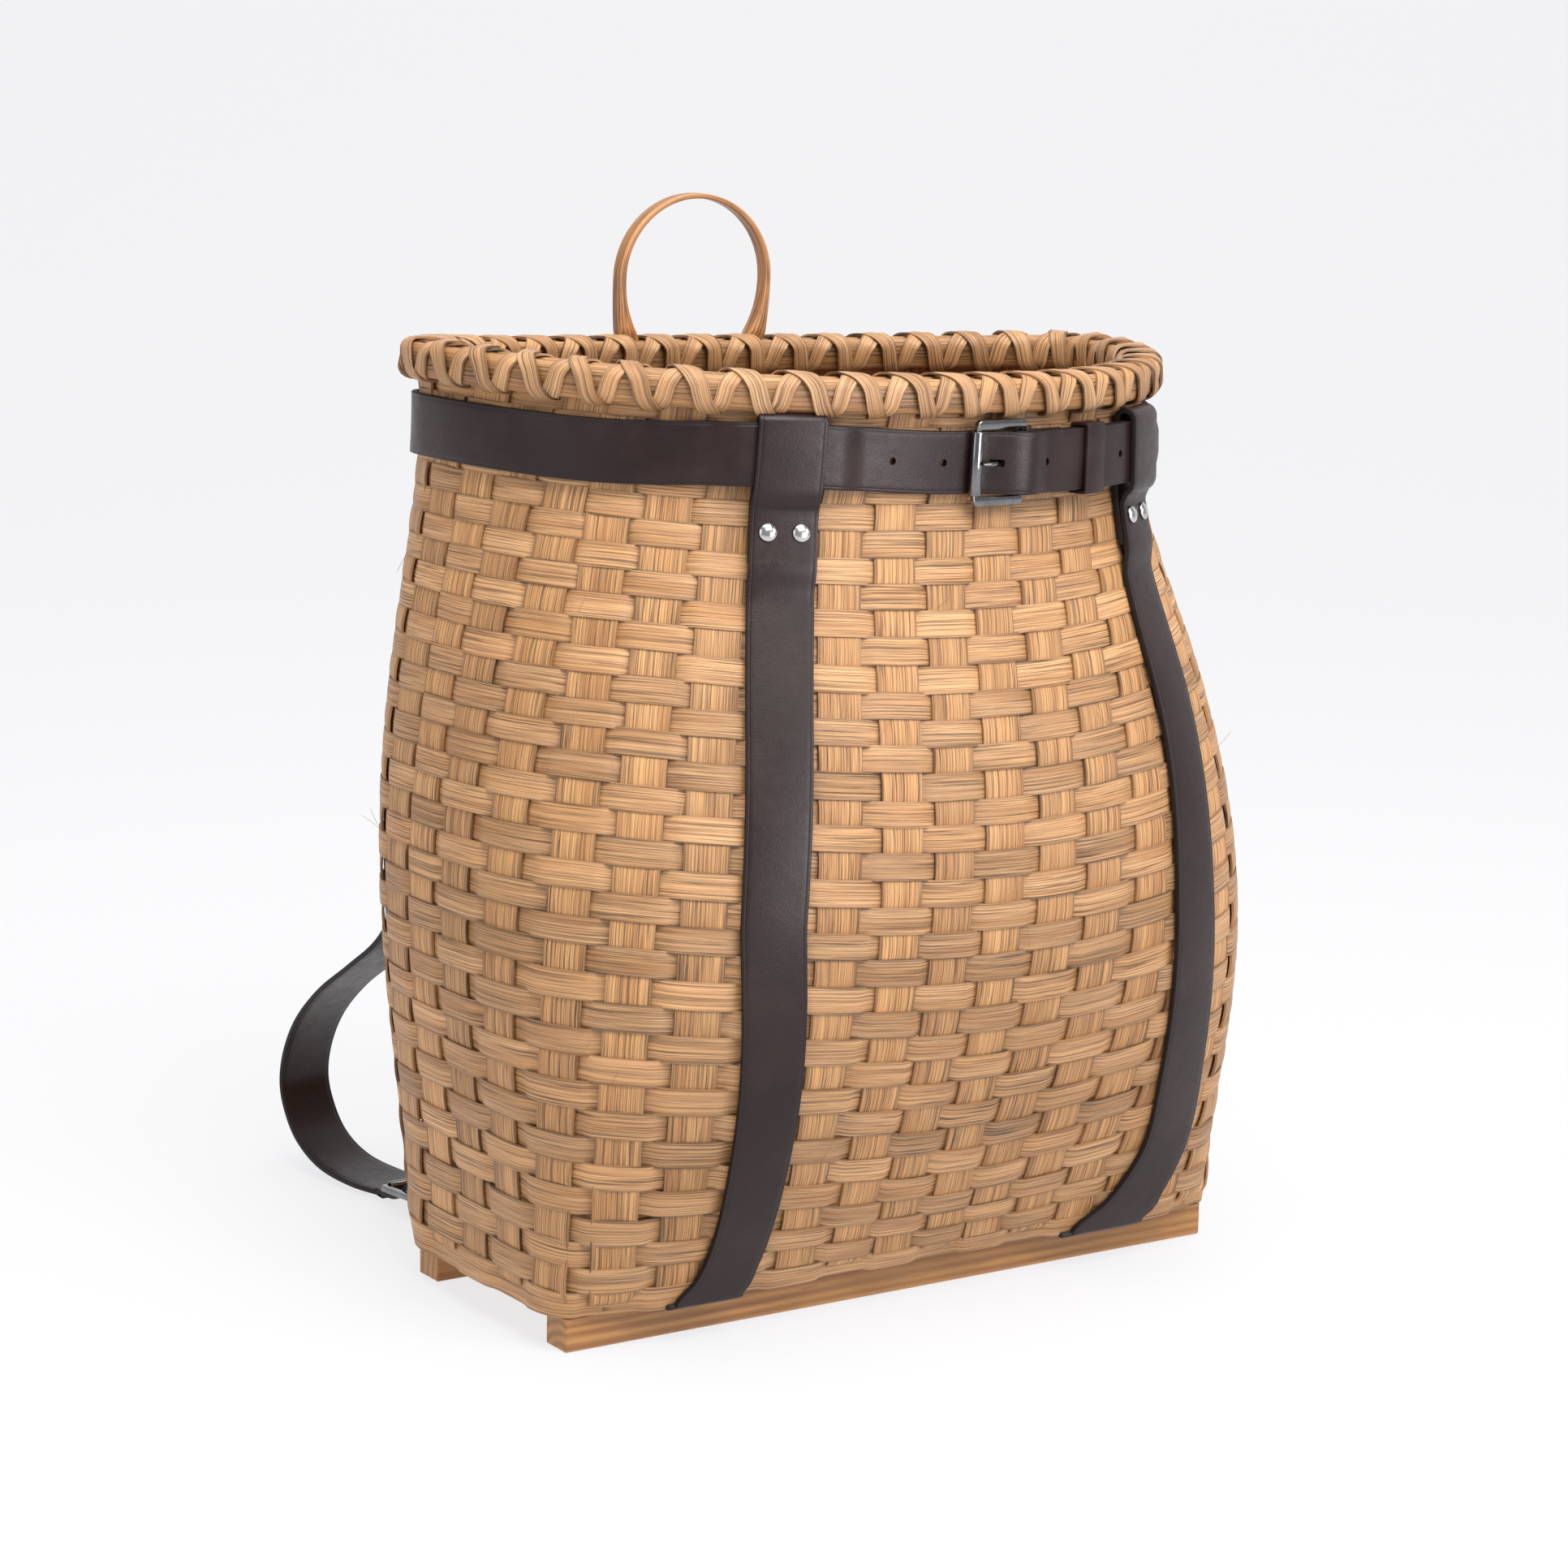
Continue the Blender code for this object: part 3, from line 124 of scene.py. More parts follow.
def thicken(obj, thick, edge=0.0, segments=2, above=50, offset=0.0, even=True):
    solid = obj.modifiers.new("thickness", "SOLIDIFY")
    solid.thickness = thick
    solid.offset = offset
    solid.use_even_offset = even
    if edge:
        return roundEdges(obj, edge, segments, above)
    applyModifiers(obj)
    return obj


# Lays a Blender grid along a strip. place takes shares across and along, from 0 to 1.
# The UV map is in metres, along first; "tone" is the strip's own shade, for the weavers with painted light by
# height added, and "edge" is 1 at its two edges.
def layGrid(name, place, alongSteps, acrossSteps, size, tone=0.5, closed=False):
    pickNone()
    bpy.ops.mesh.primitive_grid_add(x_subdivisions=acrossSteps, y_subdivisions=alongSteps, size=1.0)
    obj = named(bpy.context.object, name)
    mesh = obj.data
    count = len(mesh.vertices)
    co = np.empty(count * 3, np.float32)
    mesh.vertices.foreach_get("co", co)
    co = co.reshape(-1, 3).astype(float)
    across, along = co[:, 0] + 0.5, co[:, 1] + 0.5
    spots = place(across, along) + np.array((0.0, centreY, 0.0))
    mesh.vertices.foreach_set("co", spots.astype(np.float32).ravel())
    corners = np.empty(len(mesh.loops), np.int32)
    mesh.loops.foreach_get("vertex_index", corners)
    uvs = np.stack([along * size[0], (across - 0.5) * size[1]], -1)[corners]
    mesh.uv_layers[0].uv.foreach_set("vector", uvs.astype(np.float32).ravel())
    for label, values in (("tone", np.full(count, tone)), ("edge", abs(across * 2 - 1))):
        layer = mesh.attributes.new(label, "FLOAT", "POINT")
        layer.data.foreach_set("value", values.astype(np.float32))
    mesh.update()
    return closeSeams(obj) if closed else obj


def dress(obj, material, slot, body, *nodes, smooth=40):
    obj.data.materials.clear()
    obj.data.materials.append(material)
    pickOnly(obj)
    bpy.ops.object.shade_smooth_by_angle(angle=math.radians(smooth))
    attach(obj, body)
    if nodes:
        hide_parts(*nodes)
    return obj


def drift(x, seed):  # a slow waver between -1 and 1, always the same for one seed
    luck = np.random.default_rng(seed)
    lengths, phases = luck.uniform(0.05, 0.33, 4), luck.uniform(0.0, 6.28, 4)
    return sum(np.sin(2 * math.pi * x / l + p) for l, p in zip(lengths, phases)) / 4


def ease(x):
    x = np.clip(x, 0.0, 1.0)
    return x * x * (3 - 2 * x)


def unit(v):
    return v / np.linalg.norm(v, axis=-1, keepdims=True)


# Materials


def addNode(tree, kind, spot, **values):
    node = tree.nodes.new(kind)
    node.location = (spot[0] * 220, -spot[1] * 220)
    for key, value in values.items():
        if key.islower():  # a setting of the node, and otherwise one of its sockets
            setattr(node, key, value)
        else:
            node.inputs[key.replace("_", " ")].default_value = value
    return node


def join(tree, start, end):  # start is a socket or a constant
    if isinstance(start, bpy.types.NodeSocket):
        tree.links.new(start, end)
    else:
        end.default_value = start


def scaled(tree, vector, amounts, spot):
    node = addNode(tree, "ShaderNodeVectorMath", spot, operation="MULTIPLY")
    join(tree, vector, node.inputs[0])
    join(tree, amounts, node.inputs[1])
    return node.outputs[0]


def mixed(tree, factor, first, second, spot, kind="MIX"):
    node = addNode(tree, "ShaderNodeMix", spot, data_type="RGBA", blend_type=kind)
    for value, socket in ((factor, 0), (first, 6), (second, 7)):
        join(tree, value, node.inputs[socket])
    return node.outputs[2]


def banded(tree, value, low, high, spot, start=0.0, end=1.0):
    node = addNode(tree, "ShaderNodeMapRange", spot, From_Min=low, From_Max=high, To_Min=start, To_Max=end)
    join(tree, value, node.inputs["Value"])
    return node.outputs[0]


def counted(tree, kind, first, second, spot):
    node = addNode(tree, "ShaderNodeMath", spot, operation=kind)
    join(tree, first, node.inputs[0])
    join(tree, second, node.inputs[1])
    return node.outputs[0]


def shadedBy(tree, color, amount, spot):  # the colour times a number
    grey = addNode(tree, "ShaderNodeCombineColor", spot)
    for socket in grey.inputs[:3]:
        join(tree, amount, socket)
    return mixed(tree, 1.0, color, grey.outputs[0], (spot[0] + 1, 0), "MULTIPLY")


def noise(tree, vector, spot, scale=1.0, detail=4.0, rough=0.55):
    node = addNode(tree, "ShaderNodeTexNoise", spot, Scale=scale, Detail=detail, Roughness=rough)
    join(tree, vector, node.inputs["Vector"])
    return node.outputs["Fac"]


# A node group for a surface: it takes a vector, colours and numbers, and puts out colour, roughness and height
def newGroup(name, **inputs):
    tree = bpy.data.node_groups.new(name, "ShaderNodeTree")
    addSocket = tree.interface.new_socket
    addSocket(name="Vector", in_out="INPUT", socket_type="NodeSocketVector")
    for label, value in inputs.items():
        kind = "Color" if isinstance(value, tuple) else "Float"
        socket = addSocket(name=label, in_out="INPUT", socket_type="NodeSocket" + kind)
        socket.default_value = (*value, 1) if kind == "Color" else value
    for label, kind in (("Color", "Color"), ("Roughness", "Float"), ("Height", "Float")):
        addSocket(name=label, in_out="OUTPUT", socket_type="NodeSocket" + kind)
    return tree, tree.nodes.new("NodeGroupInput").outputs, tree.nodes.new("NodeGroupOutput").inputs


# Fibres that run along a split or shaved strip, with short dark dashes, darker towards its edges from wear and
# painted shade where it dives into the gaps, and a shade of its own that for the weavers also holds painted light
# by height
def makeSplintGrain():
    tree, ins, outs = newGroup("splintGrain", Tone=0.5, Edge=0.0, Pale=(0.5, 0.3, 0.14), Warm=(0.4, 0.2, 0.09),
                               Dark=(0.1, 0.05, 0.02), Dashes=0.6, Smoothness=0.5)
    own = addNode(tree, "ShaderNodeCombineXYZ", (0, 2))
    join(tree, counted(tree, "MULTIPLY", ins["Tone"], 37.0, (-1, 2)), own.inputs[0])
    join(tree, counted(tree, "MULTIPLY", ins["Tone"], 11.0, (-1, 3)), own.inputs[1])
    moved = addNode(tree, "ShaderNodeVectorMath", (1, 1), operation="ADD")
    join(tree, ins["Vector"], moved.inputs[0])
    join(tree, own.outputs[0], moved.inputs[1])
    at = moved.outputs[0]
    broad = noise(tree, scaled(tree, at, (7.0, 90.0, 1.0), (2, 0)), (3, 0), detail=3.0)
    fibres = noise(tree, scaled(tree, at, (11.0, 1500.0, 1.0), (2, 1)), (3, 1), detail=4.0, rough=0.68)
    dashNoise = noise(tree, scaled(tree, at, (21.0, 780.0, 1.0), (2, 2)), (3, 2), detail=3.0)
    patches = noise(tree, scaled(tree, at, (6.0, 28.0, 1.0), (2, 3)), (3, 3), detail=2.0)
    shade = banded(tree, ins["Tone"], 0.0, 1.0, (3, 4), 0.82, 1.12)
    color = mixed(tree, banded(tree, broad, 0.35, 0.65, (4, 0)), ins["Pale"], ins["Warm"], (5, 0))
    dashes = banded(tree, dashNoise, 0.54, 0.66, (4, 2))
    there = banded(tree, patches, 0.36, 0.66, (4, 3), 0.15, 1.0)
    dashes = counted(tree, "MULTIPLY", counted(tree, "MULTIPLY", dashes, there, (5, 2)), ins["Dashes"], (6, 2))
    color = mixed(tree, dashes, color, ins["Dark"], (6, 0))
    fine = banded(tree, fibres, 0.64, 0.44, (4, 1), 0.26, 1.27)
    # darker towards the strip's edges: wear, and painted shade where the strips dive under each other
    edgeWearAndShade = banded(tree, ins["Edge"], 0.78, 1.0, (4, 5), 1.0, 0.62)
    amount = counted(tree, "MULTIPLY", counted(tree, "MULTIPLY", fine, edgeWearAndShade, (6, 4)), shade, (7, 4))
    join(tree, shadedBy(tree, color, amount, (8, 4)), outs["Color"])
    rough = counted(tree, "ADD", banded(tree, fibres, 0.2, 0.8, (7, 5), -0.06, 0.10), ins["Smoothness"], (8, 5))
    join(tree, rough, outs["Roughness"])
    height = counted(tree, "SUBTRACT", fibres, counted(tree, "MULTIPLY", dashes, 0.6, (7, 3)), (8, 3))
    join(tree, height, outs["Height"])
    return tree


# Sawn or bent wood: growth rings round a line along X, drawn out into grain, with pores
def makeWoodGrain():
    tree, ins, outs = newGroup("woodGrain", Rings=90.0, Pale=(0.4, 0.2, 0.08), Dark=(0.12, 0.05, 0.02), Pores=0.5,
                               Smoothness=0.45)
    slow = scaled(tree, ins["Vector"], (0.05, 1.0, 1.0), (0, 0))
    wave = addNode(tree, "ShaderNodeTexWave", (1, 0), wave_type="RINGS", rings_direction="X",
                   Distortion=3.0, Detail=3.0, Detail_Scale=2.0, Detail_Roughness=0.6)
    join(tree, slow, wave.inputs["Vector"])
    join(tree, ins["Rings"], wave.inputs["Scale"])
    pores = noise(tree, scaled(tree, ins["Vector"], (45.0, 1300.0, 1300.0), (0, 1)), (1, 1), detail=2.0)
    broad = noise(tree, scaled(tree, ins["Vector"], (9.0, 70.0, 70.0), (0, 2)), (1, 2), detail=3.0)
    rings = counted(tree, "MULTIPLY", wave.outputs["Fac"], banded(tree, broad, 0.3, 0.7, (2, 2), 0.3, 1.0), (3, 0))
    color = mixed(tree, rings, ins["Pale"], ins["Dark"], (4, 0))
    holes = counted(tree, "MULTIPLY", banded(tree, pores, 0.58, 0.70, (2, 1)), ins["Pores"], (3, 1))
    color = mixed(tree, holes, color, ins["Dark"], (5, 0))
    patch = banded(tree, broad, 0.3, 0.7, (4, 2), 0.82, 1.12)
    join(tree, shadedBy(tree, color, patch, (5, 2)), outs["Color"])
    join(tree, counted(tree, "ADD", banded(tree, holes, 0.0, 1.0, (4, 3), 0.0, 0.2), ins["Smoothness"], (5, 3)),
         outs["Roughness"])
    join(tree, counted(tree, "SUBTRACT", banded(tree, rings, 0.0, 1.0, (4, 4), 0.5, 0.35), holes, (5, 4)),
         outs["Height"])
    return tree


# Oiled strap leather: pebbled grain, a creased line inside each cut edge, paler where it rubs
def makeLeatherGrain():
    tree, ins, outs = newGroup("leatherGrain", Edge=0.0, Base=(0.03, 0.02, 0.02), Rubbed=(0.08, 0.05, 0.04),
                               CutEdge=(0.012, 0.008, 0.008))
    pebble = addNode(tree, "ShaderNodeTexVoronoi", (0, 0), feature="SMOOTH_F1", Scale=1150.0, Smoothness=0.6)
    join(tree, ins["Vector"], pebble.inputs["Vector"])
    folds = noise(tree, ins["Vector"], (0, 1), scale=190.0, detail=5.0, rough=0.6)
    broad = noise(tree, ins["Vector"], (0, 2), scale=22.0, detail=4.0)
    line = counted(tree, "ABSOLUTE", counted(tree, "SUBTRACT", ins["Edge"], 0.90, (1, 3)), 0.0, (2, 3))
    line = banded(tree, line, 0.0, 0.035, (3, 3), 1.0, 0.0)
    cutEdge = banded(tree, ins["Edge"], 0.965, 0.985, (3, 4))
    color = mixed(tree, banded(tree, broad, 0.46, 0.68, (1, 2)), ins["Base"], ins["Rubbed"], (4, 0))
    color = mixed(tree, counted(tree, "MULTIPLY", line, 0.5, (4, 3)), color, ins["CutEdge"], (5, 0))
    join(tree, mixed(tree, cutEdge, color, ins["CutEdge"], (6, 0)), outs["Color"])
    rough = counted(tree, "ADD", banded(tree, folds, 0.3, 0.7, (3, 5), 0.32, 0.44),
                    counted(tree, "MULTIPLY", cutEdge, 0.2, (4, 5)), (5, 5))
    join(tree, rough, outs["Roughness"])
    grain = counted(tree, "MULTIPLY", pebble.outputs["Distance"], 0.45, (2, 0))
    height = counted(tree, "ADD", grain, counted(tree, "MULTIPLY", folds, 0.9, (2, 1)), (3, 1))
    join(tree, counted(tree, "SUBTRACT", height, counted(tree, "MULTIPLY", line, 1.4, (4, 4)), (5, 4)),
         outs["Height"])
    return tree


# Handled metal: faint smears in its gloss, fine scratches and a little dullness in the plating
def makeMetalWear():
    tree, ins, outs = newGroup("metalWear", Base=(0.5, 0.5, 0.5), Tarnish=(0.2, 0.18, 0.16), Gloss=0.2)
    smear = noise(tree, ins["Vector"], (0, 0), scale=260.0, detail=5.0)
    scratch = noise(tree, scaled(tree, ins["Vector"], (300.0, 2600.0, 900.0), (0, 1)), (1, 1), detail=2.0)
    dull = banded(tree, smear, 0.50, 0.74, (2, 0), 0.0, 0.65)
    join(tree, mixed(tree, dull, ins["Base"], ins["Tarnish"], (3, 0)), outs["Color"])
    join(tree, counted(tree, "ADD", banded(tree, smear, 0.35, 0.7, (3, 1), -0.04, 0.14), ins["Gloss"], (4, 1)),
         outs["Roughness"])
    join(tree, banded(tree, scratch, 0.4, 0.75, (3, 2), 0.0, 1.0), outs["Height"])
    return tree


grains = {
    "splint": makeSplintGrain(), "wood": makeWoodGrain(), "leather": makeLeatherGrain(), "metal": makeMetalWear(),
}


# A material round one of the groups. follows is "uv" for strips and "object" for the rest.
def makeFinish(name, grain, follows, bump, depth, centre=None, shader=None, **values):
    material = bpy.data.materials.new(name)
    material.use_nodes = True
    tree = material.node_tree
    principled = tree.nodes["Principled BSDF"]
    group = tree.nodes.new("ShaderNodeGroup")
    group.node_tree = grains[grain]
    group.location = (-420, 0)
    for key, value in values.items():
        join(tree, (*value, 1) if isinstance(value, tuple) else value, group.inputs[key])
    if follows == "uv":
        at = addNode(tree, "ShaderNodeUVMap", (-4, 0), uv_map="UVMap").outputs[0]
    else:
        at = addNode(tree, "ShaderNodeTexCoord", (-5, 0)).outputs["Object"]
    if centre:
        mapping = addNode(tree, "ShaderNodeMapping", (-4, 1), Location=centre)
        join(tree, at, mapping.inputs["Vector"])
        at = mapping.outputs[0]
    join(tree, at, group.inputs["Vector"])
    for label in ("Tone", "Edge"):
        if label in group.inputs:
            reader = addNode(tree, "ShaderNodeAttribute", (-4, 2), attribute_name=label.lower())
            join(tree, reader.outputs["Fac"], group.inputs[label])
    lift = addNode(tree, "ShaderNodeBump", (-1, 2), Strength=bump, Distance=depth)
    join(tree, group.outputs["Height"], lift.inputs["Height"])
    for key, value in {"Base Color": group.outputs["Color"], "Roughness": group.outputs["Roughness"],
                       "Normal": lift.outputs[0], **(shader or {})}.items():
        join(tree, value, principled.inputs[key])
    return material


finishes = {
    "weaver": makeFinish("splintWeaver", "splint", "uv", 0.8, 0.0005, Pale=(0.61, 0.340, 0.158),
                         Warm=(0.46, 0.228, 0.089), Dark=(0.09, 0.038, 0.014), Dashes=0.85, Smoothness=0.48),
    "stake": makeFinish("splintStake", "splint", "uv", 0.8, 0.0005, Pale=(0.65, 0.345, 0.138),
                        Warm=(0.48, 0.228, 0.083), Dark=(0.10, 0.040, 0.016), Dashes=0.95, Smoothness=0.48),
    "hoop": makeFinish("rimHoopWood", "splint", "uv", 0.6, 0.0005, Pale=(0.56, 0.30, 0.122),
                       Warm=(0.40, 0.185, 0.066), Dark=(0.10, 0.040, 0.016), Dashes=0.9, Smoothness=0.42),
    "lacing": makeFinish("lacingSplint", "splint", "uv", 0.6, 0.0005, Pale=(0.57, 0.32, 0.148),
                         Warm=(0.44, 0.22, 0.090), Dark=(0.11, 0.046, 0.020), Dashes=0.75, Smoothness=0.44),
    "handle": makeFinish("handleWood", "splint", "uv", 0.4, 0.0004, Pale=(0.62, 0.29, 0.105),
                         Warm=(0.45, 0.19, 0.062), Dark=(0.11, 0.038, 0.014), Dashes=0.9, Smoothness=0.36),
    "runner": makeFinish("runnerWood", "wood", "object", 0.5, 0.0004, centre=(0.0, 0.006, 0.011), Rings=55.0,
                         Pale=(0.50, 0.235, 0.068), Dark=(0.23, 0.085, 0.022), Pores=0.55, Smoothness=0.40),
    "leather": makeFinish("strapLeather", "leather", "object", 0.35, 0.0003, Base=(0.0170, 0.0060, 0.0062),
                          Rubbed=(0.030, 0.0135, 0.0133), CutEdge=(0.009, 0.005, 0.005),
                          shader={"Specular IOR Level": 0.33}),
    "rivet": makeFinish("rivetPlate", "metal", "object", 0.06, 0.0001, Base=(0.60, 0.59, 0.58),
                        Tarnish=(0.34, 0.32, 0.31), Gloss=0.14, shader={"Metallic": 1.0}),
    "chrome": makeFinish("nickelPlate", "metal", "object", 0.06, 0.0001, Base=(0.23, 0.23, 0.235),
                         Tarnish=(0.12, 0.117, 0.117), Gloss=0.09, shader={"Metallic": 1.0}),
    "steel": makeFinish("screwSteel", "metal", "object", 0.1, 0.0001, Base=(0.42, 0.42, 0.42),
                        Tarnish=(0.16, 0.14, 0.12), Gloss=0.34, shader={"Metallic": 1.0}),
}
print("materials are ready")


# The body's face, by height share and lap: laps run 0 to 36 round it from the middle of the front towards +X

wholeRound, stepsPerLap = 36, 20
roundSteps = wholeRound * stepsPerLap
wall = {
    "thick": 0.004, "baseZ": 0.0217, "height": 0.4578, "straightFrom": 0.88,
    "halfWidth": 0.232, "front": 0.155, "back": 0.150, "widestAtRim": 0.058,
    "tilt": 0.009, "saddle": 0.0034, "lean": 0.0024, "leftDrop": 0.0038, "squarestBelow": 0.02,
    "pull": 0.0085, "pullWay": (0.832, -0.555), "pullFrom": 0.125, "pullFull": 0.205, "pullShares": (0.64, 0.93),
    "heights": (0.0, 0.18, 0.42, 0.70, 1.0),
    "shares": {
        "width": (0.918, 0.940, 1.0, 0.951, 0.907),
        "front": (0.590, 0.816, 1.0, 0.860, 0.719),
        "back": (0.633, 0.875, 0.985, 1.050, 0.923),
        "round": (0.24, 0.45, 0.68, 0.83, 0.95),
        "widest": (0.0, 0.23, 0.54, 0.88, 1.0),
    },
}


def shaped(key, share):
    values = wall["shares"][key]
    fit = np.polyfit(wall["heights"], values, 4)
    if key == "round":  # the corners of the foot stay rounder than the line through the heights
        share = np.maximum(share, wall["squarestBelow"])
    low = np.polyval(fit, wall["straightFrom"])
    top = low + (values[-1] - low) * (share - wall["straightFrom"]) / (1 - wall["straightFrom"])
    return np.where(share <= wall["straightFrom"], np.polyval(fit, share), top)


def wallPoint(share, angle):
    widest = wall["widestAtRim"] * shaped("widest", share)
    power = 2 / shaped("round", share)
    c, s = np.cos(angle), np.sin(angle)
    reach = (abs(c) ** power + abs(s) ** power) ** (-1 / power)
    x, y = c * reach, s * reach
    cc, ss = np.sign(x) * abs(x) ** (power / 2), np.sign(y) * abs(y) ** (power / 2)
    rise = -wall["tilt"] * cc + wall["saddle"] * (cc * cc - ss * ss) - wall["lean"] * ss
    rise = rise - wall["leftDrop"] * ease(-cc)
    front = wall["front"] * shaped("front", share) + widest
    back = wall["back"] * shaped("back", share) - widest
    tilted = np.clip(share / wall["straightFrom"], 0, 1) ** 3
    z = wall["baseZ"] + wall["height"] * share + tilted * rise
    x, y = wall["halfWidth"] * shaped("width", share) * x, np.where(y < 0, front, back) * y + widest
    reachOut = wall["pullWay"][0] * x + wall["pullWay"][1] * y  # the neck's right corner is drawn in
    low, high = wall["pullShares"]
    pull = wall["pull"] * ease((share - low) / (high - low))
    pull = pull * ease((reachOut - wall["pullFrom"]) / (wall["pullFull"] - wall["pullFrom"]))
    return np.stack([x - wall["pullWay"][0] * pull, y - wall["pullWay"][1] * pull, z], -1)


shareRows = np.linspace(-0.03, 1.06, 110)
angleSteps = np.linspace(-math.pi / 2, 1.5 * math.pi, 2 * roundSteps + 1)
lapAngles = np.empty((len(shareRows), roundSteps + 1))
roundAt = np.empty(len(shareRows))
for row, share in enumerate(shareRows):
    ringSpots = wallPoint(np.full_like(angleSteps, share), angleSteps)
    ringLengths = np.concatenate([[0.0], np.cumsum(np.linalg.norm(np.diff(ringSpots, axis=0), axis=1))])
    roundAt[row] = ringLengths[-1]
    lapAngles[row] = np.interp(np.linspace(0, ringLengths[-1], roundSteps + 1), ringLengths, angleSteps)


def angleOf(share, lap):
    i = np.clip((share - shareRows[0]) / (shareRows[1] - shareRows[0]), 0, len(shareRows) - 1.001)
    j = (lap % wholeRound) * stepsPerLap
    i0, j0 = i.astype(int), np.minimum(j.astype(int), roundSteps - 1)
    i, j = i - i0, j - j0
    low = lapAngles[i0, j0] * (1 - j) + lapAngles[i0, j0 + 1] * j
    high = lapAngles[i0 + 1, j0] * (1 - j) + lapAngles[i0 + 1, j0 + 1] * j
    return low * (1 - i) + high * i


# The face at this place, and the unit directions out of it, up it and round it
def faceAt(share, angle):
    share, angle = np.broadcast_arrays(np.asarray(share, float), np.asarray(angle, float))
    up = wallPoint(share + 0.001, angle) - wallPoint(share - 0.001, angle)
    along = unit(wallPoint(share, angle + 0.001) - wallPoint(share, angle - 0.001))
    out = unit(np.cross(along, up))
    return wallPoint(share, angle), out, np.cross(out, along), along


def faceBy(share, lap):
    share, lap = np.broadcast_arrays(np.asarray(share, float), np.asarray(lap, float))
    return faceAt(share, angleOf(share, lap))


def angleByX(share, x, front=True):
    half = wall["halfWidth"] * shaped("width", share)
    power = 2 / shaped("round", share)
    across = x / half
    depth = (1 - np.minimum(abs(across), 1) ** power) ** (1 / power)
    return np.arctan2(-depth if front else depth, across)


# Weave: the laps of the stakes placed one by one, at three heights; the rest are spread evenly between them

weave = {
    "stakes": 38, "stakeWidth": 0.0232, "stakeThick": 0.0012, "stakeSwing": 0.0005, "stakeSharpness": 1.5,
    "weaverWidth": 0.0148, "weaverThick": 0.0011, "weaverSwing": 0.0011, "weaverSharpness": 0.07,
    "weaverLength": 1.2, "fillsPitch": 1.015, "fuller": 0.00018, "cup": 0.00022, "stepsPerStake": 13,
    "stakeSteps": 190, "startsAt": 24, "endGap": 0.02, "frontLap": 0.6, "cornerReach": 6.6, "rowsReadAt": -0.74,
    "waver": {"out": 0.00012, "up": 0.0003, "width": 0.0002, "stakeWidth": 0.0006, "tilt": 0.00012},
    "paintedLightByHeight": ((0.3, 0.5, 0.85), (0.0, -0.12, 0.38)),  # painted light: how much is added to a weaver's tone, by height share, darker round the middle and paler high up where the lamps fall on the upper front
    "heights": (0.1, 0.5, 0.86),
    "places": {
        -10: (-11.0, -10.25, -9.58), -9: (-10.0, -9.5, -8.69), -8: (-9.0, -8.6, -7.81), -7: (-7.92, -7.55, -6.83),
        -6: (-6.77, -6.42, -6.03), -2: (-2.49, -2.58, -2.18), -1: (-1.47, -1.60, -1.22), 0: (-0.62, -0.74, -0.24),
        1: (0.33, 0.13, 0.70), 2: (1.16, 1.07, 1.65), 3: (2.10, 1.95, 2.60), 4: (3.03, 2.93, 3.55),
    },
    "rows": (
        0.006, 0.0273, 0.0508, 0.0727, 0.1010, 0.1316, 0.1606, 0.1929, 0.2237, 0.2546, 0.2838, 0.3149, 0.3449,
        0.3769, 0.4061, 0.4358, 0.4657, 0.4954, 0.5256, 0.5526, 0.5816, 0.6115, 0.6382, 0.6678, 0.6945, 0.7253,
        0.7536, 0.7825, 0.8091, 0.838, 0.8665, 0.895, 0.923, 0.951, 0.979,
    ),
    "rise": (  # how much higher the rows stand at the left end than in front, by height share
        (0, 0.03, 0.1, 0.35, 0.5, 0.6, 0.7, 0.8, 0.9, 1),
        (0.0, 0.013, 0.035, 0.036, 0.031, 0.027, 0.021, 0.012, 0.003, 0),
    ),
    "stakeFoot": 0.0203, "stakeTop": 1.017, "footTurn": 0.006, "footRun": 0.024,
}
knownStakes = sorted(weave["places"])
firstStake = knownStakes[0]
keyStakes = knownStakes + [firstStake + weave["stakes"]]
keyFits = np.array([np.polyfit(weave["heights"], weave["places"][k], 2) for k in knownStakes])
keyFits = np.vstack([keyFits, keyFits[0] + (0, 0, wholeRound)])
stakeNumbers = range(firstStake, firstStake + weave["stakes"])
stakeFits = np.stack([np.interp(stakeNumbers, keyStakes, keyFits[:, i]) for i in range(3)], -1)


def stakeLap(index, share):  # index counts from 0 at the first stake
    a, b, c = stakeFits[index]
    return a * share * share + b * share + c


def lapsFrom(lap, other):
    return abs((lap - other + wholeRound / 2) % wholeRound - wholeRound / 2)


def cornerShare(lap):
    return ease(lapsFrom(lap, weave["frontLap"]) / weave["cornerReach"])


def rowShare(row, lap):
    front = weave["rows"][row]
    rise = np.interp(front, *weave["rise"])
    return front + rise * (cornerShare(lap) - cornerShare(weave["rowsReadAt"]))


rowCount = len(weave["rows"])
crossLaps = np.empty((rowCount, weave["stakes"]))
crossShares = np.empty((rowCount, weave["stakes"]))
for row in range(rowCount):
    for index in range(weave["stakes"]):
        lap = stakeLap(index, weave["rows"][row])
        lap = stakeLap(index, float(rowShare(row, lap)))
        crossLaps[row, index] = lap
        crossShares[row, index] = rowShare(row, lap)


def laySide(count, sharpness):  # 1 where a strip passes outside, -1 inside, quicker between them where it is low
    c = np.cos(math.pi * count)
    return c / np.sqrt(c * c + sharpness) * math.sqrt(1 + sharpness)


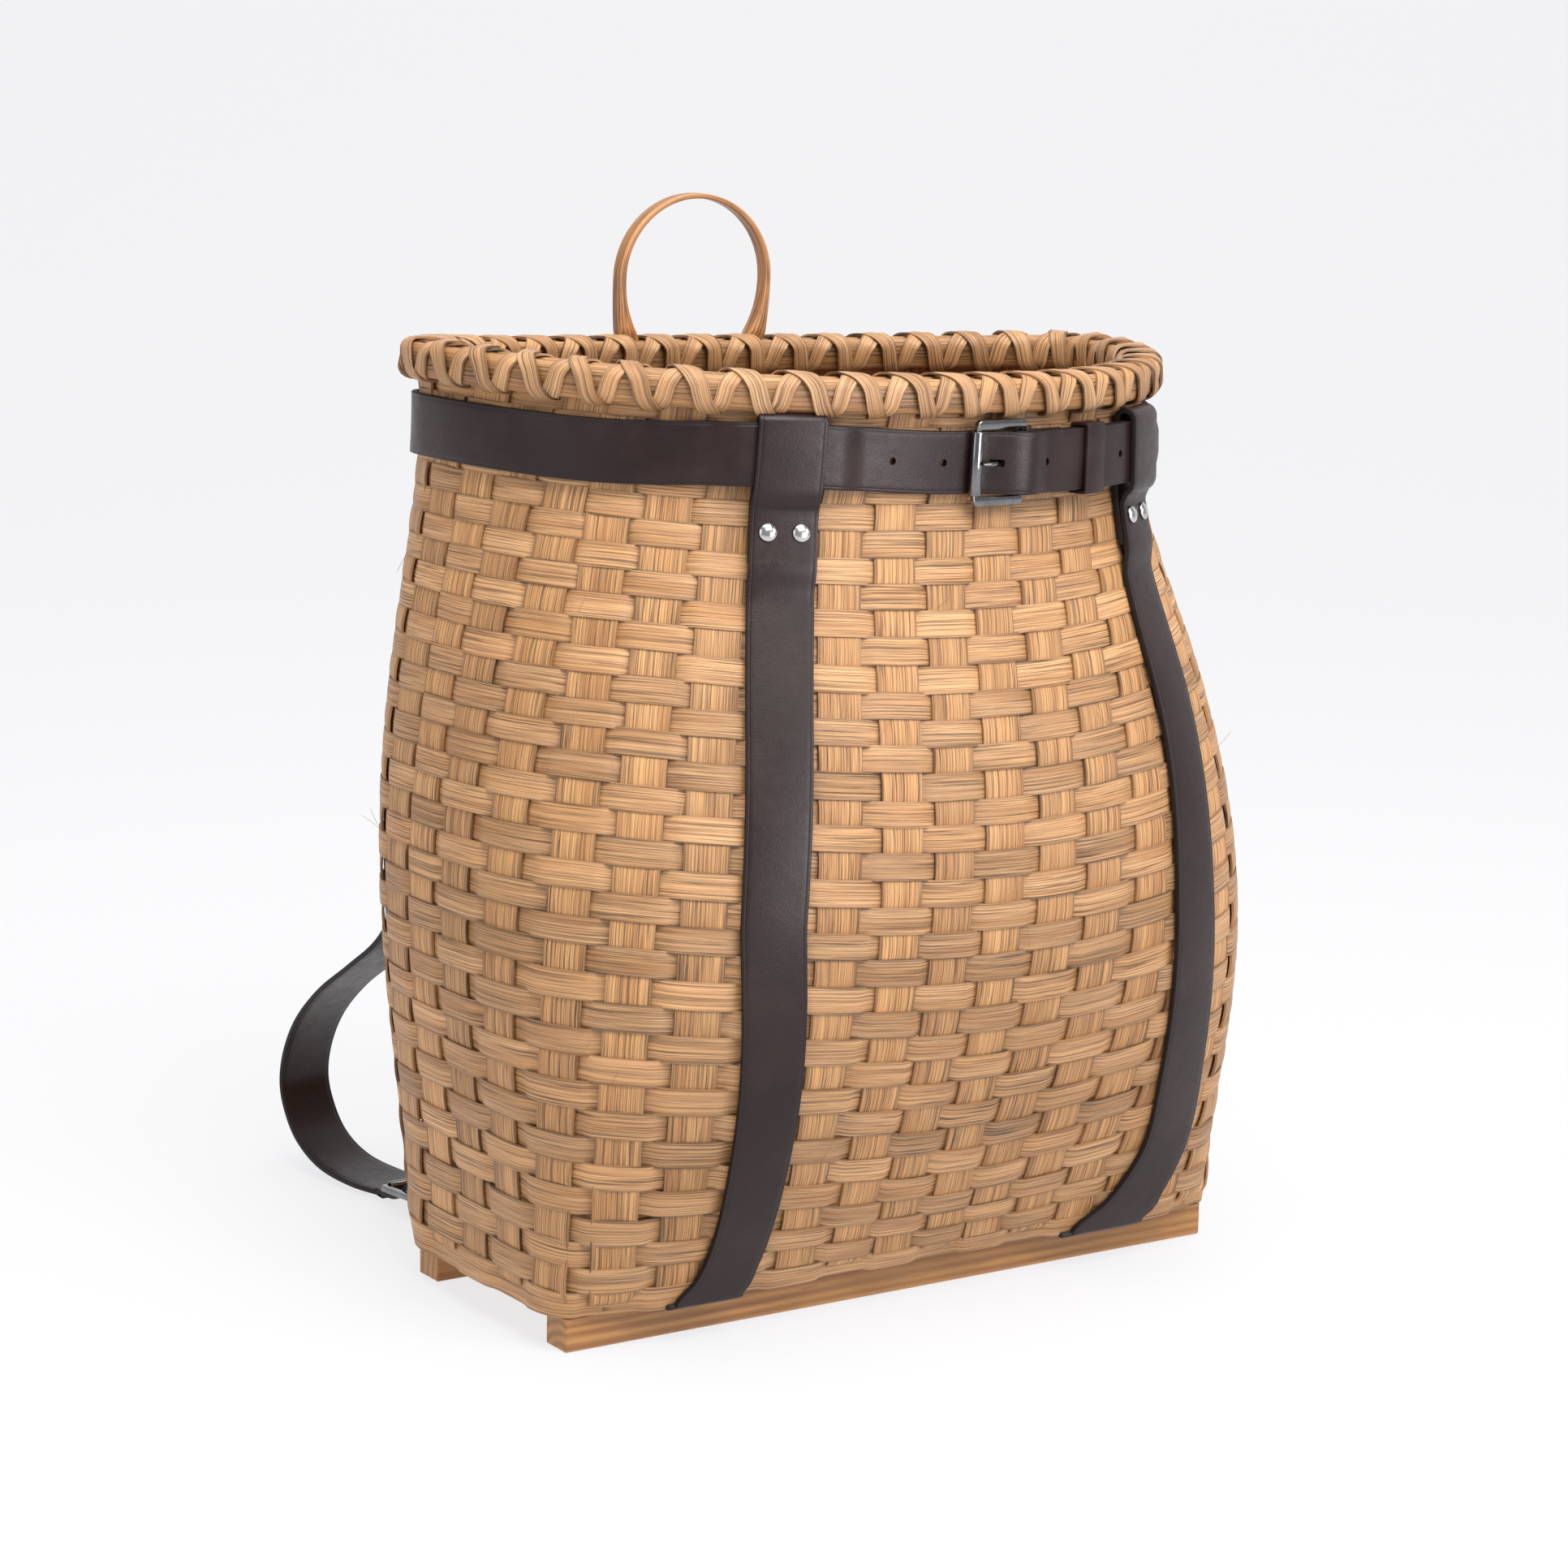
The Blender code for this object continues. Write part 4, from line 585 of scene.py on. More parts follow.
def makeWeaver(row):
    luck = np.random.default_rng(100 + row)
    below, above = max(row - 1, 0), min(row + 1, rowCount - 1)
    width = weave["weaverWidth"]
    first = weave["startsAt"] + (row % 2)  # starts behind a stake at the back
    counts = np.arange(-1.0, weave["stakes"] + 2)
    laps = np.concatenate([[crossLaps[row, -1] - wholeRound], crossLaps[row], crossLaps[row, :2] + wholeRound])
    waver = weave["waver"]
    tilt = luck.uniform(-waver["tilt"], waver["tilt"])

    def place(across, along):
        count = (first + along * (weave["stakes"] - weave["endGap"])) % weave["stakes"]
        lap = np.interp(count, counts, laps)
        spot, out, up, _ = faceBy(rowShare(row, lap), lap)
        low, high = faceBy(rowShare(below, lap), lap)[0], faceBy(rowShare(above, lap), lap)[0]
        pitch = np.linalg.norm(high - low, axis=-1) / (above - below)
        run = along * weave["weaverLength"]
        side = laySide(count + firstStake + row, weave["weaverSharpness"])
        offset = -wall["thick"] / 2 + weave["weaverSwing"] * side + weave["fuller"] * side * abs(side)
        a = 2 * across - 1
        offset = offset - weave["cup"] * a * a + tilt * a + waver["out"] * drift(run, 300 + row)
        wide = (np.minimum(width, pitch * weave["fillsPitch"]) + waver["width"] * drift(run, 400 + row)) / 2
        rise = waver["up"] * drift(run * 1.7, 500 + row) + a * wide
        return spot + out * offset[:, None] + up * rise[:, None]

    steps = weave["stakes"] * weave["stepsPerStake"]
    # painted light: the weaver's own random tone plus a lift by height, paler high up and darker round the middle
    tone = luck.uniform(0, 1) + np.interp(weave["rows"][row], *weave["paintedLightByHeight"])
    strip = layGrid(f"weaver{row}", place, steps, 4, (weave["weaverLength"], width), float(np.clip(tone, 0, 1)))
    return thicken(strip, weave["weaverThick"])


def makeStake(index):
    luck = np.random.default_rng(700 + index)
    shares = np.linspace(weave["stakeFoot"], weave["stakeTop"], 260)
    spots = faceBy(shares, stakeLap(index, shares))[0]
    lengths = np.concatenate([[0.0], np.cumsum(np.linalg.norm(np.diff(spots, axis=0), axis=1))])
    turn, run = weave["footTurn"], weave["footRun"]
    bend = turn * math.pi / 2
    total = lengths[-1] + bend + run
    rows = np.arange(rowCount) + 0.0
    foot, footOut, _, footAlong = faceBy([weave["stakeFoot"]], [float(stakeLap(index, weave["stakeFoot"]))])
    inward = -unit(footOut[0] * (1, 1, 0))

    def place(across, along):
        d = along * total - bend - run
        share = np.interp(np.maximum(d, 0), lengths, shares)
        lap = stakeLap(index, share)
        spot, out, up, round_ = faceBy(share, lap)
        count = np.interp(share, crossShares[:, index], rows)
        a = 2 * across - 1
        side = laySide(count + index + firstStake, weave["stakeSharpness"])
        offset = -wall["thick"] / 2 - weave["stakeSwing"] * side
        offset = offset + weave["cup"] * (1 - a * a)
        wide = a * (weave["stakeWidth"] + weave["waver"]["stakeWidth"] * drift(d, 800 + index)) / 2
        result = spot + out * offset[:, None] + round_ * wide[:, None]
        low = d < 0
        turned = np.clip(-d[low] / turn, 0, math.pi / 2)
        past = np.maximum(-d[low] - bend, 0)
        centre = foot[0] + footOut[0] * offset[low][:, None] + inward * turn
        result[low] = centre + footAlong[0] * wide[low][:, None] - inward * (turn * np.cos(turned))[:, None]
        result[low, 2] -= turn * np.sin(turned)
        result[low] += inward * past[:, None]
        return result

    size = total, weave["stakeWidth"]
    strip = layGrid(f"stake{index}", place, weave["stakeSteps"], 4, size, luck.uniform(0, 1))
    return thicken(strip, weave["stakeThick"])


base = {"stripWidth": 0.0235, "thick": 0.0011, "swing": 0.0006, "layer": 0.0015, "frontToBack": 13, "sideToSide": 6,
        "halfX": 0.192, "frontY": -0.0725, "backY": 0.0755, "inset": 0.0045, "step": 0.004, "margin": 0.001,
        "endsPast": 0.12}


def makeBaseStrip(name, start, end, crossings, parity, luck):
    start, end = np.array(start), np.array(end)
    length = np.linalg.norm(end - start)
    ahead = (end - start) / length
    sideways = np.array((ahead[1], -ahead[0], 0.0))

    def place(across, along):
        middle = start + (end - start) * along[:, None]
        count = np.interp(along * length, crossings, np.arange(len(crossings)) + 0.0)
        lift = base["swing"] * laySide(count + parity, weave["weaverSharpness"])
        wide = (across - 0.5) * base["stripWidth"]
        return middle + sideways * wide[:, None] + np.array((0, 0, 1.0)) * lift[:, None]

    strip = layGrid(name, place, int(length / base["step"]), 2, (length, base["stripWidth"]), luck.uniform(0, 1))
    return thicken(strip, base["thick"])


def makeBase():
    luck = np.random.default_rng(90)
    z = wall["baseZ"] + base["layer"]
    xs = np.linspace(-base["halfX"], base["halfX"], base["frontToBack"])
    ys = np.linspace(base["frontY"], base["backY"], base["sideToSide"])
    strips = []
    outline = wallPoint(np.zeros(roundSteps + 1), angleSteps[::2])
    half = base["stripWidth"] / 2 + base["margin"]
    for i, x in enumerate(xs):
        side = outline[abs(outline[:, 0] - x) < half, 1]
        start, end = (x, side[side < 0].max() + base["inset"], z), (x, side[side > 0].min() - base["inset"], z)
        strips.append(makeBaseStrip(f"baseLong{i}", start, end, ys - start[1], i, luck))
    for i, y in enumerate(ys):
        side = outline[abs(outline[:, 1] - y) < half, 0]
        reach = side[side > base["endsPast"]].min() - base["inset"]
        strips.append(makeBaseStrip(f"baseWide{i}", (-reach, y, z), (reach, y, z), xs + reach, i + 1, luck))
    return joinPieces("baseStrips", strips)


stakes = joinPieces("stakes", [makeStake(index) for index in range(weave["stakes"])])
dress(stakes, finishes["stake"], "splint", "basket")
for name, low, high in (("lowerWeavers", 0, 12), ("middleWeavers", 12, 24), ("upperWeavers", 24, rowCount)):
    weavers = joinPieces(name, [makeWeaver(row) for row in range(low, high)])
    dress(weavers, finishes["weaver"], "splint", "basket", *(("basket_body",) if name == "middleWeavers" else ()))
dress(makeBase(), finishes["stake"], "splint", "basket")


# Fine fibres that lift from the strips' edges, clear of the leather
loose = {"count": 150, "length": (0.006, 0.017), "radius": 0.00012, "steps": 7, "offRow": 0.0135, "below": 0.86,
         "clears": 0.034, "lifts": (0.25, 0.9), "curlsUp": (-0.6, 0.6), "curlsOut": (-0.5, 0.3), "root": 0.0012,
         "lowest": 0.004}


def makeLooseFibres():
    luck = np.random.default_rng(51)
    pieces = []
    for number in range(loose["count"]):
        row, lap = luck.integers(0, rowCount), luck.uniform(0, wholeRound)
        share = rowShare(row, lap) + luck.choice((-1, 1)) * loose["offRow"]
        spot, out, up, round_ = (v.ravel() for v in faceBy([max(loose["lowest"], share)], [lap]))
        straps = ("left", "right") if spot[1] < 0 else ("rearLeft", "rearRight")
        away = min(abs(spot[0] - acrossX(paths[key], share)) for key in straps)
        if share > loose["below"] or away < loose["clears"]:
            continue
        length, turn = luck.uniform(*loose["length"]), luck.uniform(0, 2 * math.pi)
        ahead = unit(round_ * math.cos(turn) + up * math.sin(turn) + out * luck.uniform(*loose["lifts"]))
        curl = (up * luck.uniform(*loose["curlsUp"]) + out * luck.uniform(*loose["curlsOut"])) * length
        sideways = unit(np.cross(ahead, up + round_ * 0.31))  # any direction across it will do
        lift = np.cross(sideways, ahead)

        def place(across, along):
            middle = spot - out * loose["root"] + ahead * (along * length)[:, None] + curl * (along ** 2)[:, None]
            radius = loose["radius"] * np.sqrt(np.maximum(0.0, 1 - (2 * along - 1) ** 8))
            angle = 2 * math.pi * across
            return (middle + sideways * (radius * np.cos(angle))[:, None]
                    + lift * (radius * np.sin(angle))[:, None])

        pieces.append(layGrid(f"fibre{number}", place, loose["steps"], 3, (length, 0.001), luck.uniform(0.3, 1.0)))
    return closeSeams(joinPieces("looseFibres", pieces))


print("the body is woven")


# Rim: two rounded hoops, the filler on top of the wall and the crossed lacing

rim = {
    "hoopThick": 0.0075, "hoopHeight": 0.017, "rest": 0.0006, "laceWidth": 0.0088, "laceThick": 0.0011,
    "laceLift": 0.0005, "loopLength": 0.062, "stepsPerLoop": 28, "lapLength": 0.0303, "girth": 0.045,
    "laceApart": 0.0002, "laceWaver": 0.0006, "laceCup": 0.0002, "laceSquareness": 0.62, "hoopWaver": 0.02,
    "hoopSquareness": (0.85, 0.4, 0.72), "fillerSquareness": 0.7, "lump": 0.05, "lumps": 900,
    "fillerMiddle": 0.0046, "fillerHalf": 0.0036, "footHalf": 0.0072,
    "holes": (-8.104, -7.147, -6.265, -5.383, -4.449, -3.540, -2.560, -1.690, -0.755, 0.094, 0.902),
    "feet": (16.689, 19.470), "holesToFoot": 17, "holesBetweenFeet": 3, "holesFromFoot": 9,
}


def rimPlace(lap):
    spot, out, _, _ = faceBy(np.ones_like(lap), lap)
    level = out * (1, 1, 0)
    length = np.linalg.norm(level, axis=-1, keepdims=True)
    lean = out[..., 2:] / length
    level = level / length
    return spot - level * wall["thick"] / 2, level, np.array((0, 0, 1.0)) - level * lean


def signed(x, power):
    return np.sign(x) * abs(x) ** power


def sweepHoop(name, section, steps, sides, length, tone, start=0.0, laps=wholeRound):
    def place(across, along):
        middle, level, up = rimPlace(start + laps * along)
        outBy, upBy = section(across, along)
        return middle + level * outBy[:, None] + up * upBy[:, None]

    return layGrid(name, place, steps, sides, (length, rim["girth"]), tone, closed=True)


def hoopSection(side):
    half = rim["hoopThick"] / 2
    middle = wall["thick"] / 2 + rim["rest"] + half
    outer, inner, upright = rim["hoopSquareness"]

    def section(across, along):
        turn = 2 * math.pi * across * side
        c, s = np.cos(turn), np.sin(turn)
        waver = 1 + rim["hoopWaver"] * drift(along * 1.1, 40 + side)
        outBy = middle + half * np.where(c > 0, signed(c, outer), signed(c, inner))
        return side * outBy, rim["hoopHeight"] / 2 * signed(s, upright) * waver
    return section


def fillerSection(across, along):
    turn = 2 * math.pi * across
    half = wall["thick"] / 2 - clear
    lump = 1 + rim["lump"] * np.sin(along * rim["lumps"])
    c, s = (signed(wave(turn), rim["fillerSquareness"]) for wave in (np.cos, np.sin))
    return half * c, rim["fillerMiddle"] + rim["fillerHalf"] * s * lump


for name, side, length, tone, node in (
    ("outerHoop", 1, 1.12, 0.62, "rim_outer_hoop"), ("innerHoop", -1, 1.05, 0.35, "rim_inner_hoop"),
):
    dress(sweepHoop(name, hoopSection(side), 360, 18, length, tone), finishes["hoop"], "hoop_wood", "basket", node)

footHalf = rim["footHalf"] / rim["lapLength"]  # half of a handle foot in laps
for name, start, end, node, steps in (
    ("fillerRound", rim["feet"][1] + footHalf, rim["feet"][0] + wholeRound - footHalf, "rim_filler", 300),
    ("fillerBehindHandle", rim["feet"][0] + footHalf, rim["feet"][1] - footHalf, "rim_filler_behind_handle", 30),
):
    filler = sweepHoop(name, fillerSection, steps, 10, rim["lapLength"] * (end - start), 0.4, start, end - start)
    dress(fillEnds(filler), finishes["hoop"], "hoop_wood", "basket", node)


def laceHoles():
    holes = list(rim["holes"])
    for start, end, count in (
        (holes[-1], rim["feet"][0], rim["holesToFoot"]),
        (*rim["feet"], rim["holesBetweenFeet"]),
        (rim["feet"][1], holes[0] + wholeRound, rim["holesFromFoot"]),
    ):
        holes += list(np.linspace(start, end, count + 1)[1:])
    return np.array(holes)  # the last one is the first again, a whole turn on


def makeLacing(name, direction, layer):
    holes = laceHoles()
    loops = len(holes) - 1
    lift = rim["laceLift"] + rim["laceThick"] / 2 + layer * (rim["laceThick"] + rim["laceApart"])
    wide = wall["thick"] / 2 + rim["rest"] + rim["hoopThick"] + lift
    high = rim["hoopHeight"] / 2 + lift
    near = 0.01  # how far apart, in loops, two points give its direction

    def path(count):
        turns = np.floor(count)
        t = count - turns
        slow = 0.5 * t + 0.5 * ease(t)
        at = turns + slow if direction > 0 else loops - turns - slow
        lap = np.interp(at, np.arange(loops + 1), holes)
        turn = -math.pi / 2 + 2 * math.pi * t
        middle, level, up = rimPlace(lap)
        c, s = (signed(wave(turn), rim["laceSquareness"]) for wave in (np.cos, np.sin))
        spot = middle + level * (wide * c)[:, None] + up * (high * s)[:, None]
        out = unit(level * (np.cos(turn) / wide)[:, None] + up * (np.sin(turn) / high)[:, None])
        return spot, out

    def place(across, along):
        count = along * loops * 0.99999
        spot, out = path(count)
        before, after = path(np.maximum(count - near, 0))[0], path(np.minimum(count + near, loops - 0.0001))[0]
        side = unit(np.cross(unit(after - before), out))
        width = rim["laceWidth"] + rim["laceWaver"] * drift(count * 0.03, 60 + layer)
        a = 2 * across - 1
        return spot + side * (a * width / 2)[:, None] - out * (rim["laceCup"] * a * a)[:, None]

    size = loops * rim["loopLength"], rim["laceWidth"]
    lace = layGrid(name, place, loops * rim["stepsPerLoop"], 3, size, 0.5 + 0.2 * direction)
    return thicken(lace, rim["laceThick"])


dress(makeLacing("lacingFirst", 1, 0), finishes["lacing"], "splint", "basket", "rim_lacing_first")
dress(makeLacing("lacingSecond", -1, 1), finishes["lacing"], "splint", "basket", "rim_lacing_second")
print("the rim is laced")


# Bentwood handle: a squarish bent strip whose feet widen and stand between the hoops

handle = {
    "span": 0.0974, "rise": 0.079, "depth": 0.0086, "side": 0.0041, "top": 0.0028, "foot": 0.0135,
    "centreX": -0.0076, "springShare": 0.42, "footSpanShare": 0.965, "tail": 0.0155, "tailDepth": 0.0034,
    "sides": 20, "squareness": 0.34, "grain": (0.30, 0.024),
}


def frameMatrix(origin, xAxis, zAxis):
    x = Vector(xAxis).normalized()
    z = Vector(zAxis)
    z = (z - x * z.dot(x)).normalized()
    matrix = Matrix((x, z.cross(x), z)).transposed().to_4x4()
    matrix.translation = Vector(origin)
    return matrix


def handleEdges():  # outer and inner edges of one half, from the tail's end to the middle of the top
    half = handle["span"] / 2
    foot = half * handle["footSpanShare"]
    spring = handle["rise"] * handle["springShare"]
    rows = []
    for t in np.linspace(-1, 0, 9)[:-1]:
        rows.append((foot, foot - handle["foot"], t * handle["tail"], handle["tailDepth"]))
    for t in np.linspace(0, 1, 15)[:-1]:
        f = 1 - t
        width = handle["side"] + (handle["foot"] - handle["side"]) * f**2.2
        depth = handle["tailDepth"] + (handle["depth"] - handle["tailDepth"]) * float(ease(t * 9))
        rows.append((half + (foot - half) * f**2, half + (foot - half) * f**2 - width, spring * t, depth))
    edges = [((o, z), (i, z), d) for o, i, z, d in rows]
    for a in np.linspace(0, math.pi / 2, 22):
        outer = (half * math.cos(a), spring + (handle["rise"] - spring) * math.sin(a))
        innerRise = handle["rise"] - spring - handle["top"]
        inner = ((half - handle["side"]) * math.cos(a), spring + innerRise * math.sin(a))
        edges.append((outer, inner, handle["depth"]))
    return edges


def makeHandle():
    half = handle["span"] / 2 * handle["footSpanShare"] - handle["foot"] / 2
    tops = []
    for side in (-1, 1):
        spot, out, _, _ = faceAt(1.0, angleByX(1.0, handle["centreX"] + side * half, False))
        level = unit(out * (1, 1, 0))
        up = np.array((0, 0, 1.0)) - level * out[2] / np.linalg.norm(out[:2])
        tops.append(Vector(spot - level * wall["thick"] / 2 + up * rim["hoopHeight"] / 2 + (0, 0, clear)))
    upright = frameMatrix((tops[0] + tops[1]) / 2, tops[1] - tops[0], (0, 0, 1))
    right = handleEdges()
    both = right + [((-o[0], o[1]), (-i[0], i[1]), d) for o, i, d in reversed(right[:-1])]
    outer = np.array([o for o, _, _ in both])
    inner = np.array([i for _, i, _ in both])
    depths = np.array([d for _, _, d in both])
    turnTo = np.array(upright.to_3x3())

    def place(across, along):
        row = np.rint(along * (len(both) - 1)).astype(int)
        turn = 2 * math.pi * across
        u, v = (signed(wave(turn), handle["squareness"]) for wave in (np.cos, np.sin))
        flat = (outer[row] + inner[row]) / 2 + (outer[row] - inner[row]) / 2 * u[:, None]
        local = np.stack([flat[:, 0], -depths[row] / 2 * v, flat[:, 1]], -1)
        return local @ turnTo.T + np.array(upright.translation)

    obj = layGrid("bentHandle", place, len(both) - 1, handle["sides"], handle["grain"], 0.45, closed=True)
    closeSeams(fillEnds(obj))
    dress(obj, finishes["handle"], "handle_wood", "basket", "carry_handle", smooth=50)


makeHandle()
print("the handle stands between the hoops")


# Leather: the layers of the belt and the straps, as distances of their middles from the body

strap = {  # it shows its face's width on the body and its full width at the rear buckles
    "width": 0.038, "face": 0.0333, "thick": 0.0028, "edge": 0.0005, "columns": 9, "rivetBelow": 0.0195,
    "tail": 0.034, "ramp": 0.016, "slant": 0.005, "footShare": 0.004, "toShare": -0.012, "underTo": 0.06625,
    "leavesBaseY": 0.076, "tipTaper": 0.016, "tipNarrows": 0.65, "rowsPerHeight": 120,
}
belt = {
    "width": 0.03175, "thick": 0.003, "drop": 0.0334, "rise": 0.0040, "riseLap": -3.4, "riseReach": 3.3,
    "tipPastStrap": 0.037, "tipTaper": 0.02, "tipShare": 0.35, "foldBack": 0.030, "holes": 6, "holePitch": 0.0295,
    "holeRadius": 0.0019, "holeDepth": 0.0045, "tipHoleDepth": 0.0038, "prongHoleAt": 0.0126,
    "prongHoleLength": 0.0068, "keeperAt": 0.0805, "keeperLength": 0.0150,
}
rearBuckle = {"x": 0.142, "startY": 0.222, "rollerY": 0.186, "slope": 0.12, "foldBack": 0.017, "meets": 0.037,
              "tipPast": 0.040, "keeperPast": 0.025, "keeperLength": 0.0110}
buckle = {
    "rollerAt": 0.0046, "reach": 0.0295, "bar": 0.0032, "thick": 0.0026, "arm": 0.0052, "crown": 0.32,
    "corner": 0.0042, "edge": 0.0012, "rollerWall": 0.0009, "rollerEdge": 0.0003, "prong": 0.0012,
    "keeperThick": 0.0016, "keeperSlack": 0.00075, "keeperCorner": 0.0016, "keeperEdge": 0.0004,
}
rivet = {"cap": 0.00475, "capHeight": 0.0022, "shank": 0.0015, "back": 0.0036, "backThick": 0.0008,
         "spacing": 0.0165, "edge": 0.0002}
across = {  # x of each strap's middle by height share
    "left": ((-0.04, -0.1400), (0.0, -0.1300), (0.03, -0.1225), (0.09, -0.1190), (0.206, -0.1215), (0.398, -0.1275),
             (0.486, -0.1258), (0.652, -0.1147), (0.802, -0.1022), (0.905, -0.0955), (1.04, -0.0920)),
    "right": ((-0.04, 0.1090), (0.0, 0.1235), (0.03, 0.1370), (0.08, 0.1475), (0.13, 0.1500), (0.221, 0.1450),
              (0.422, 0.1365), (0.604, 0.1355), (0.766, 0.1285), (0.870, 0.1280), (1.04, 0.1270)),
    "rear": ((-0.04, 0.17573), (0.1, 0.16291), (0.2, 0.15414), (0.3, 0.14570), (0.42, 0.13600), (0.5, 0.12979),
             (0.6, 0.12233), (0.7, 0.11519), (0.8, 0.10837), (0.93, 0.10000), (1.04, 0.09334)),
}

beltShare = 1 - belt["drop"] / wall["height"]
onBody = 2 * clear + strap["thick"] / 2
beltOnBody = 2 * clear + belt["thick"] / 2
tailOut = clear + rivet["backThick"] + clear + strap["thick"] / 2
mainOut = tailOut + strap["thick"] / 2 + clear + belt["thick"] / 2
billetOut = mainOut + belt["thick"] + 2 * clear
overBelt = mainOut + belt["thick"] / 2 + clear + strap["thick"] / 2
overBillet = billetOut + belt["thick"] / 2 + clear + strap["thick"] / 2
rivetedOut = tailOut + strap["thick"] + clear
barReach = math.hypot(buckle["bar"], buckle["thick"]) / 2
foldRadius = barReach + clear + belt["thick"] / 2
heelOut = beltOnBody + foldRadius
heelTop = heelOut + foldRadius
overHeel = heelTop + belt["thick"] + 3 * clear
rollerInner = barReach + clear
rollerRadius = rollerInner + buckle["rollerWall"]
rollerOut = beltOnBody + belt["thick"] / 2 + 2 * clear + rollerRadius
foldEnd = mainOut - belt["thick"] - clear
fine, finer = 0.003, 0.002  # the longest steps along a strap and down its slope off the belt
alongX = np.array((1.0, 0, 0))
beltRound = float(np.interp(beltShare, shareRows, roundAt))
columnShares = np.linspace(-0.5, 0.5, strap["columns"])


def spread(keys, step):
    result = [keys[0]]
    for (a0, n0), (a1, n1) in zip(keys, keys[1:]):
        count = max(1, math.ceil(abs(a1 - a0) / step))
        for i in range(1, count + 1):
            f = i / count
            result.append((a0 + (a1 - a0) * f, n0 + (n1 - n0) * float(ease(f))))
    return result


def through(points, perSpan):
    padded = [points[0] * 2 - points[1], *points, points[-1] * 2 - points[-2]]
    result = []
    for p0, p1, p2, p3 in zip(padded, padded[1:], padded[2:], padded[3:]):
        for i in range(perSpan):
            f = i / perSpan
            bend = (p0 * 2 - p1 * 5 + p2 * 4 - p3) * f**2 + (p1 * 3 - p0 - p2 * 3 + p3) * f**3
            result.append((p1 * 2 + (p2 - p0) * f + bend) / 2)
    result.append(points[-1])
    return result


def beltFace(along):
    lap = along / beltRound * wholeRound
    away = lapsFrom(lap, belt["riseLap"]) / belt["riseReach"]
    share = beltShare + belt["rise"] / wall["height"] * (1 - ease(away))
    return faceBy(np.array(share), np.array(lap))


def beltSpot(along, outBy):
    spot, out, _, _ = beltFace(along)
    return spot + out * outBy


def beltUp(along):
    return beltFace(along)[2]


def beltPlaceOf(x, front=True):
    angle = float(angleByX(beltShare, x, front))
    if angle < -math.pi / 2:
        angle += 2 * math.pi
    i = int(np.argmin(abs(shareRows - beltShare)))
    return float(np.interp(angle, lapAngles[i], np.linspace(0, beltRound, roundSteps + 1)))


def rowOf(spot, sideways, width):
    return np.array([spot + sideways * (width * share) for share in columnShares])


def layStrap(name, rows, thick, *nodes, tone=0.5):
    rows = np.array(rows)
    middles = rows[:, rows.shape[1] // 2]
    length = float(np.linalg.norm(np.diff(middles, axis=0), axis=1).sum())

    def place(share, along):
        i = np.rint(along * (len(rows) - 1)).astype(int)
        j = np.rint(share * (rows.shape[1] - 1)).astype(int)
        return rows[i, j]

    obj = layGrid(name, place, len(rows) - 1, rows.shape[1] - 1, (length, strap["width"]), tone)
    thicken(obj, thick, strap["edge"])
    return dress(obj, finishes["leather"], "leather", "basket", *nodes)


def anchorKeys(heel, runTo, foldBack):  # the folded-back end, the turn round the heel bar, the run away
    near = heel + buckle["reach"] / 2
    keys = spread([(heel, beltOnBody), (near, foldEnd), (max(near, heel + foldBack), foldEnd)], fine)
    keys.reverse()
    for step in range(1, 14):
        angle = -math.pi / 2 - math.pi * step / 14
        keys.append((heel + foldRadius * math.cos(angle), heelOut + foldRadius * math.sin(angle)))
    away = [(heel, heelTop), (near, mainOut), (max(near, heel + foldBack), mainOut), (runTo, mainOut)]
    return keys + spread(away, fine)


def billetKeys(roller, runFrom, tip):
    heel = roller + buckle["reach"]
    keys = [(runFrom, beltOnBody), (roller + rollerRadius / 2, beltOnBody), (heel, overHeel)]
    return spread([*keys, (heel + buckle["reach"] / 2, billetOut), (tip, billetOut)], fine)


def acrossX(path, share):
    return float(np.interp(share, *path))


def pathOf(keys, sign=1):
    points = np.array(through([np.array(key) for key in keys], 10))
    return points[:, 0], points[:, 1] * sign


paths = {"left": pathOf(across["left"]), "right": pathOf(across["right"])}
paths["rearLeft"], paths["rearRight"] = pathOf(across["rear"], -1), pathOf(across["rear"])
rearLoopsAt = sorted(beltPlaceOf(acrossX(paths[key], beltShare), False) for key in ("rearLeft", "rearRight"))
leftStrapAt = beltPlaceOf(acrossX(paths["left"], beltShare)) % beltRound
rightStrapAt = beltPlaceOf(acrossX(paths["right"], beltShare))
beltTipAt = rightStrapAt + belt["tipPastStrap"]


def makeBelt():
    edge = strap["width"] / 2 + strap["slant"]
    ramp = edge + strap["ramp"]
    heel = buckle["rollerAt"] + buckle["reach"]
    keys = anchorKeys(heel, rightStrapAt + edge, belt["foldBack"])
    run = [keys[-1], (beltTipAt + clear, mainOut), (beltTipAt + ramp, beltOnBody)]
    for at in (*rearLoopsAt, leftStrapAt):
        run += [(at - ramp, beltOnBody), (at - edge, mainOut), (at + edge, mainOut), (at + ramp, beltOnBody)]
    end = beltRound + buckle["rollerAt"]
    run.append((end - strap["ramp"], beltOnBody))
    keys += spread(run, fine)[1:]
    tip = beltRound + beltTipAt
    keys += billetKeys(end, end - strap["ramp"], tip)[1:]
    rows = []
    for along, outBy in keys:
        taper = max(0.0, 1 - (tip - along) / belt["tipTaper"]) ** 2
        width = belt["width"] * (1 - (1 - belt["tipShare"]) * taper)
        rows.append(rowOf(beltSpot(along, outBy), beltUp(along), width))
    return layStrap("waistBelt", rows, belt["thick"], "belt")


def placeCopy(template, name, matrix):
    copy = template.copy()
    copy.data = template.data.copy()
    bpy.context.scene.collection.objects.link(copy)
    return settle(named(copy, name), matrix)


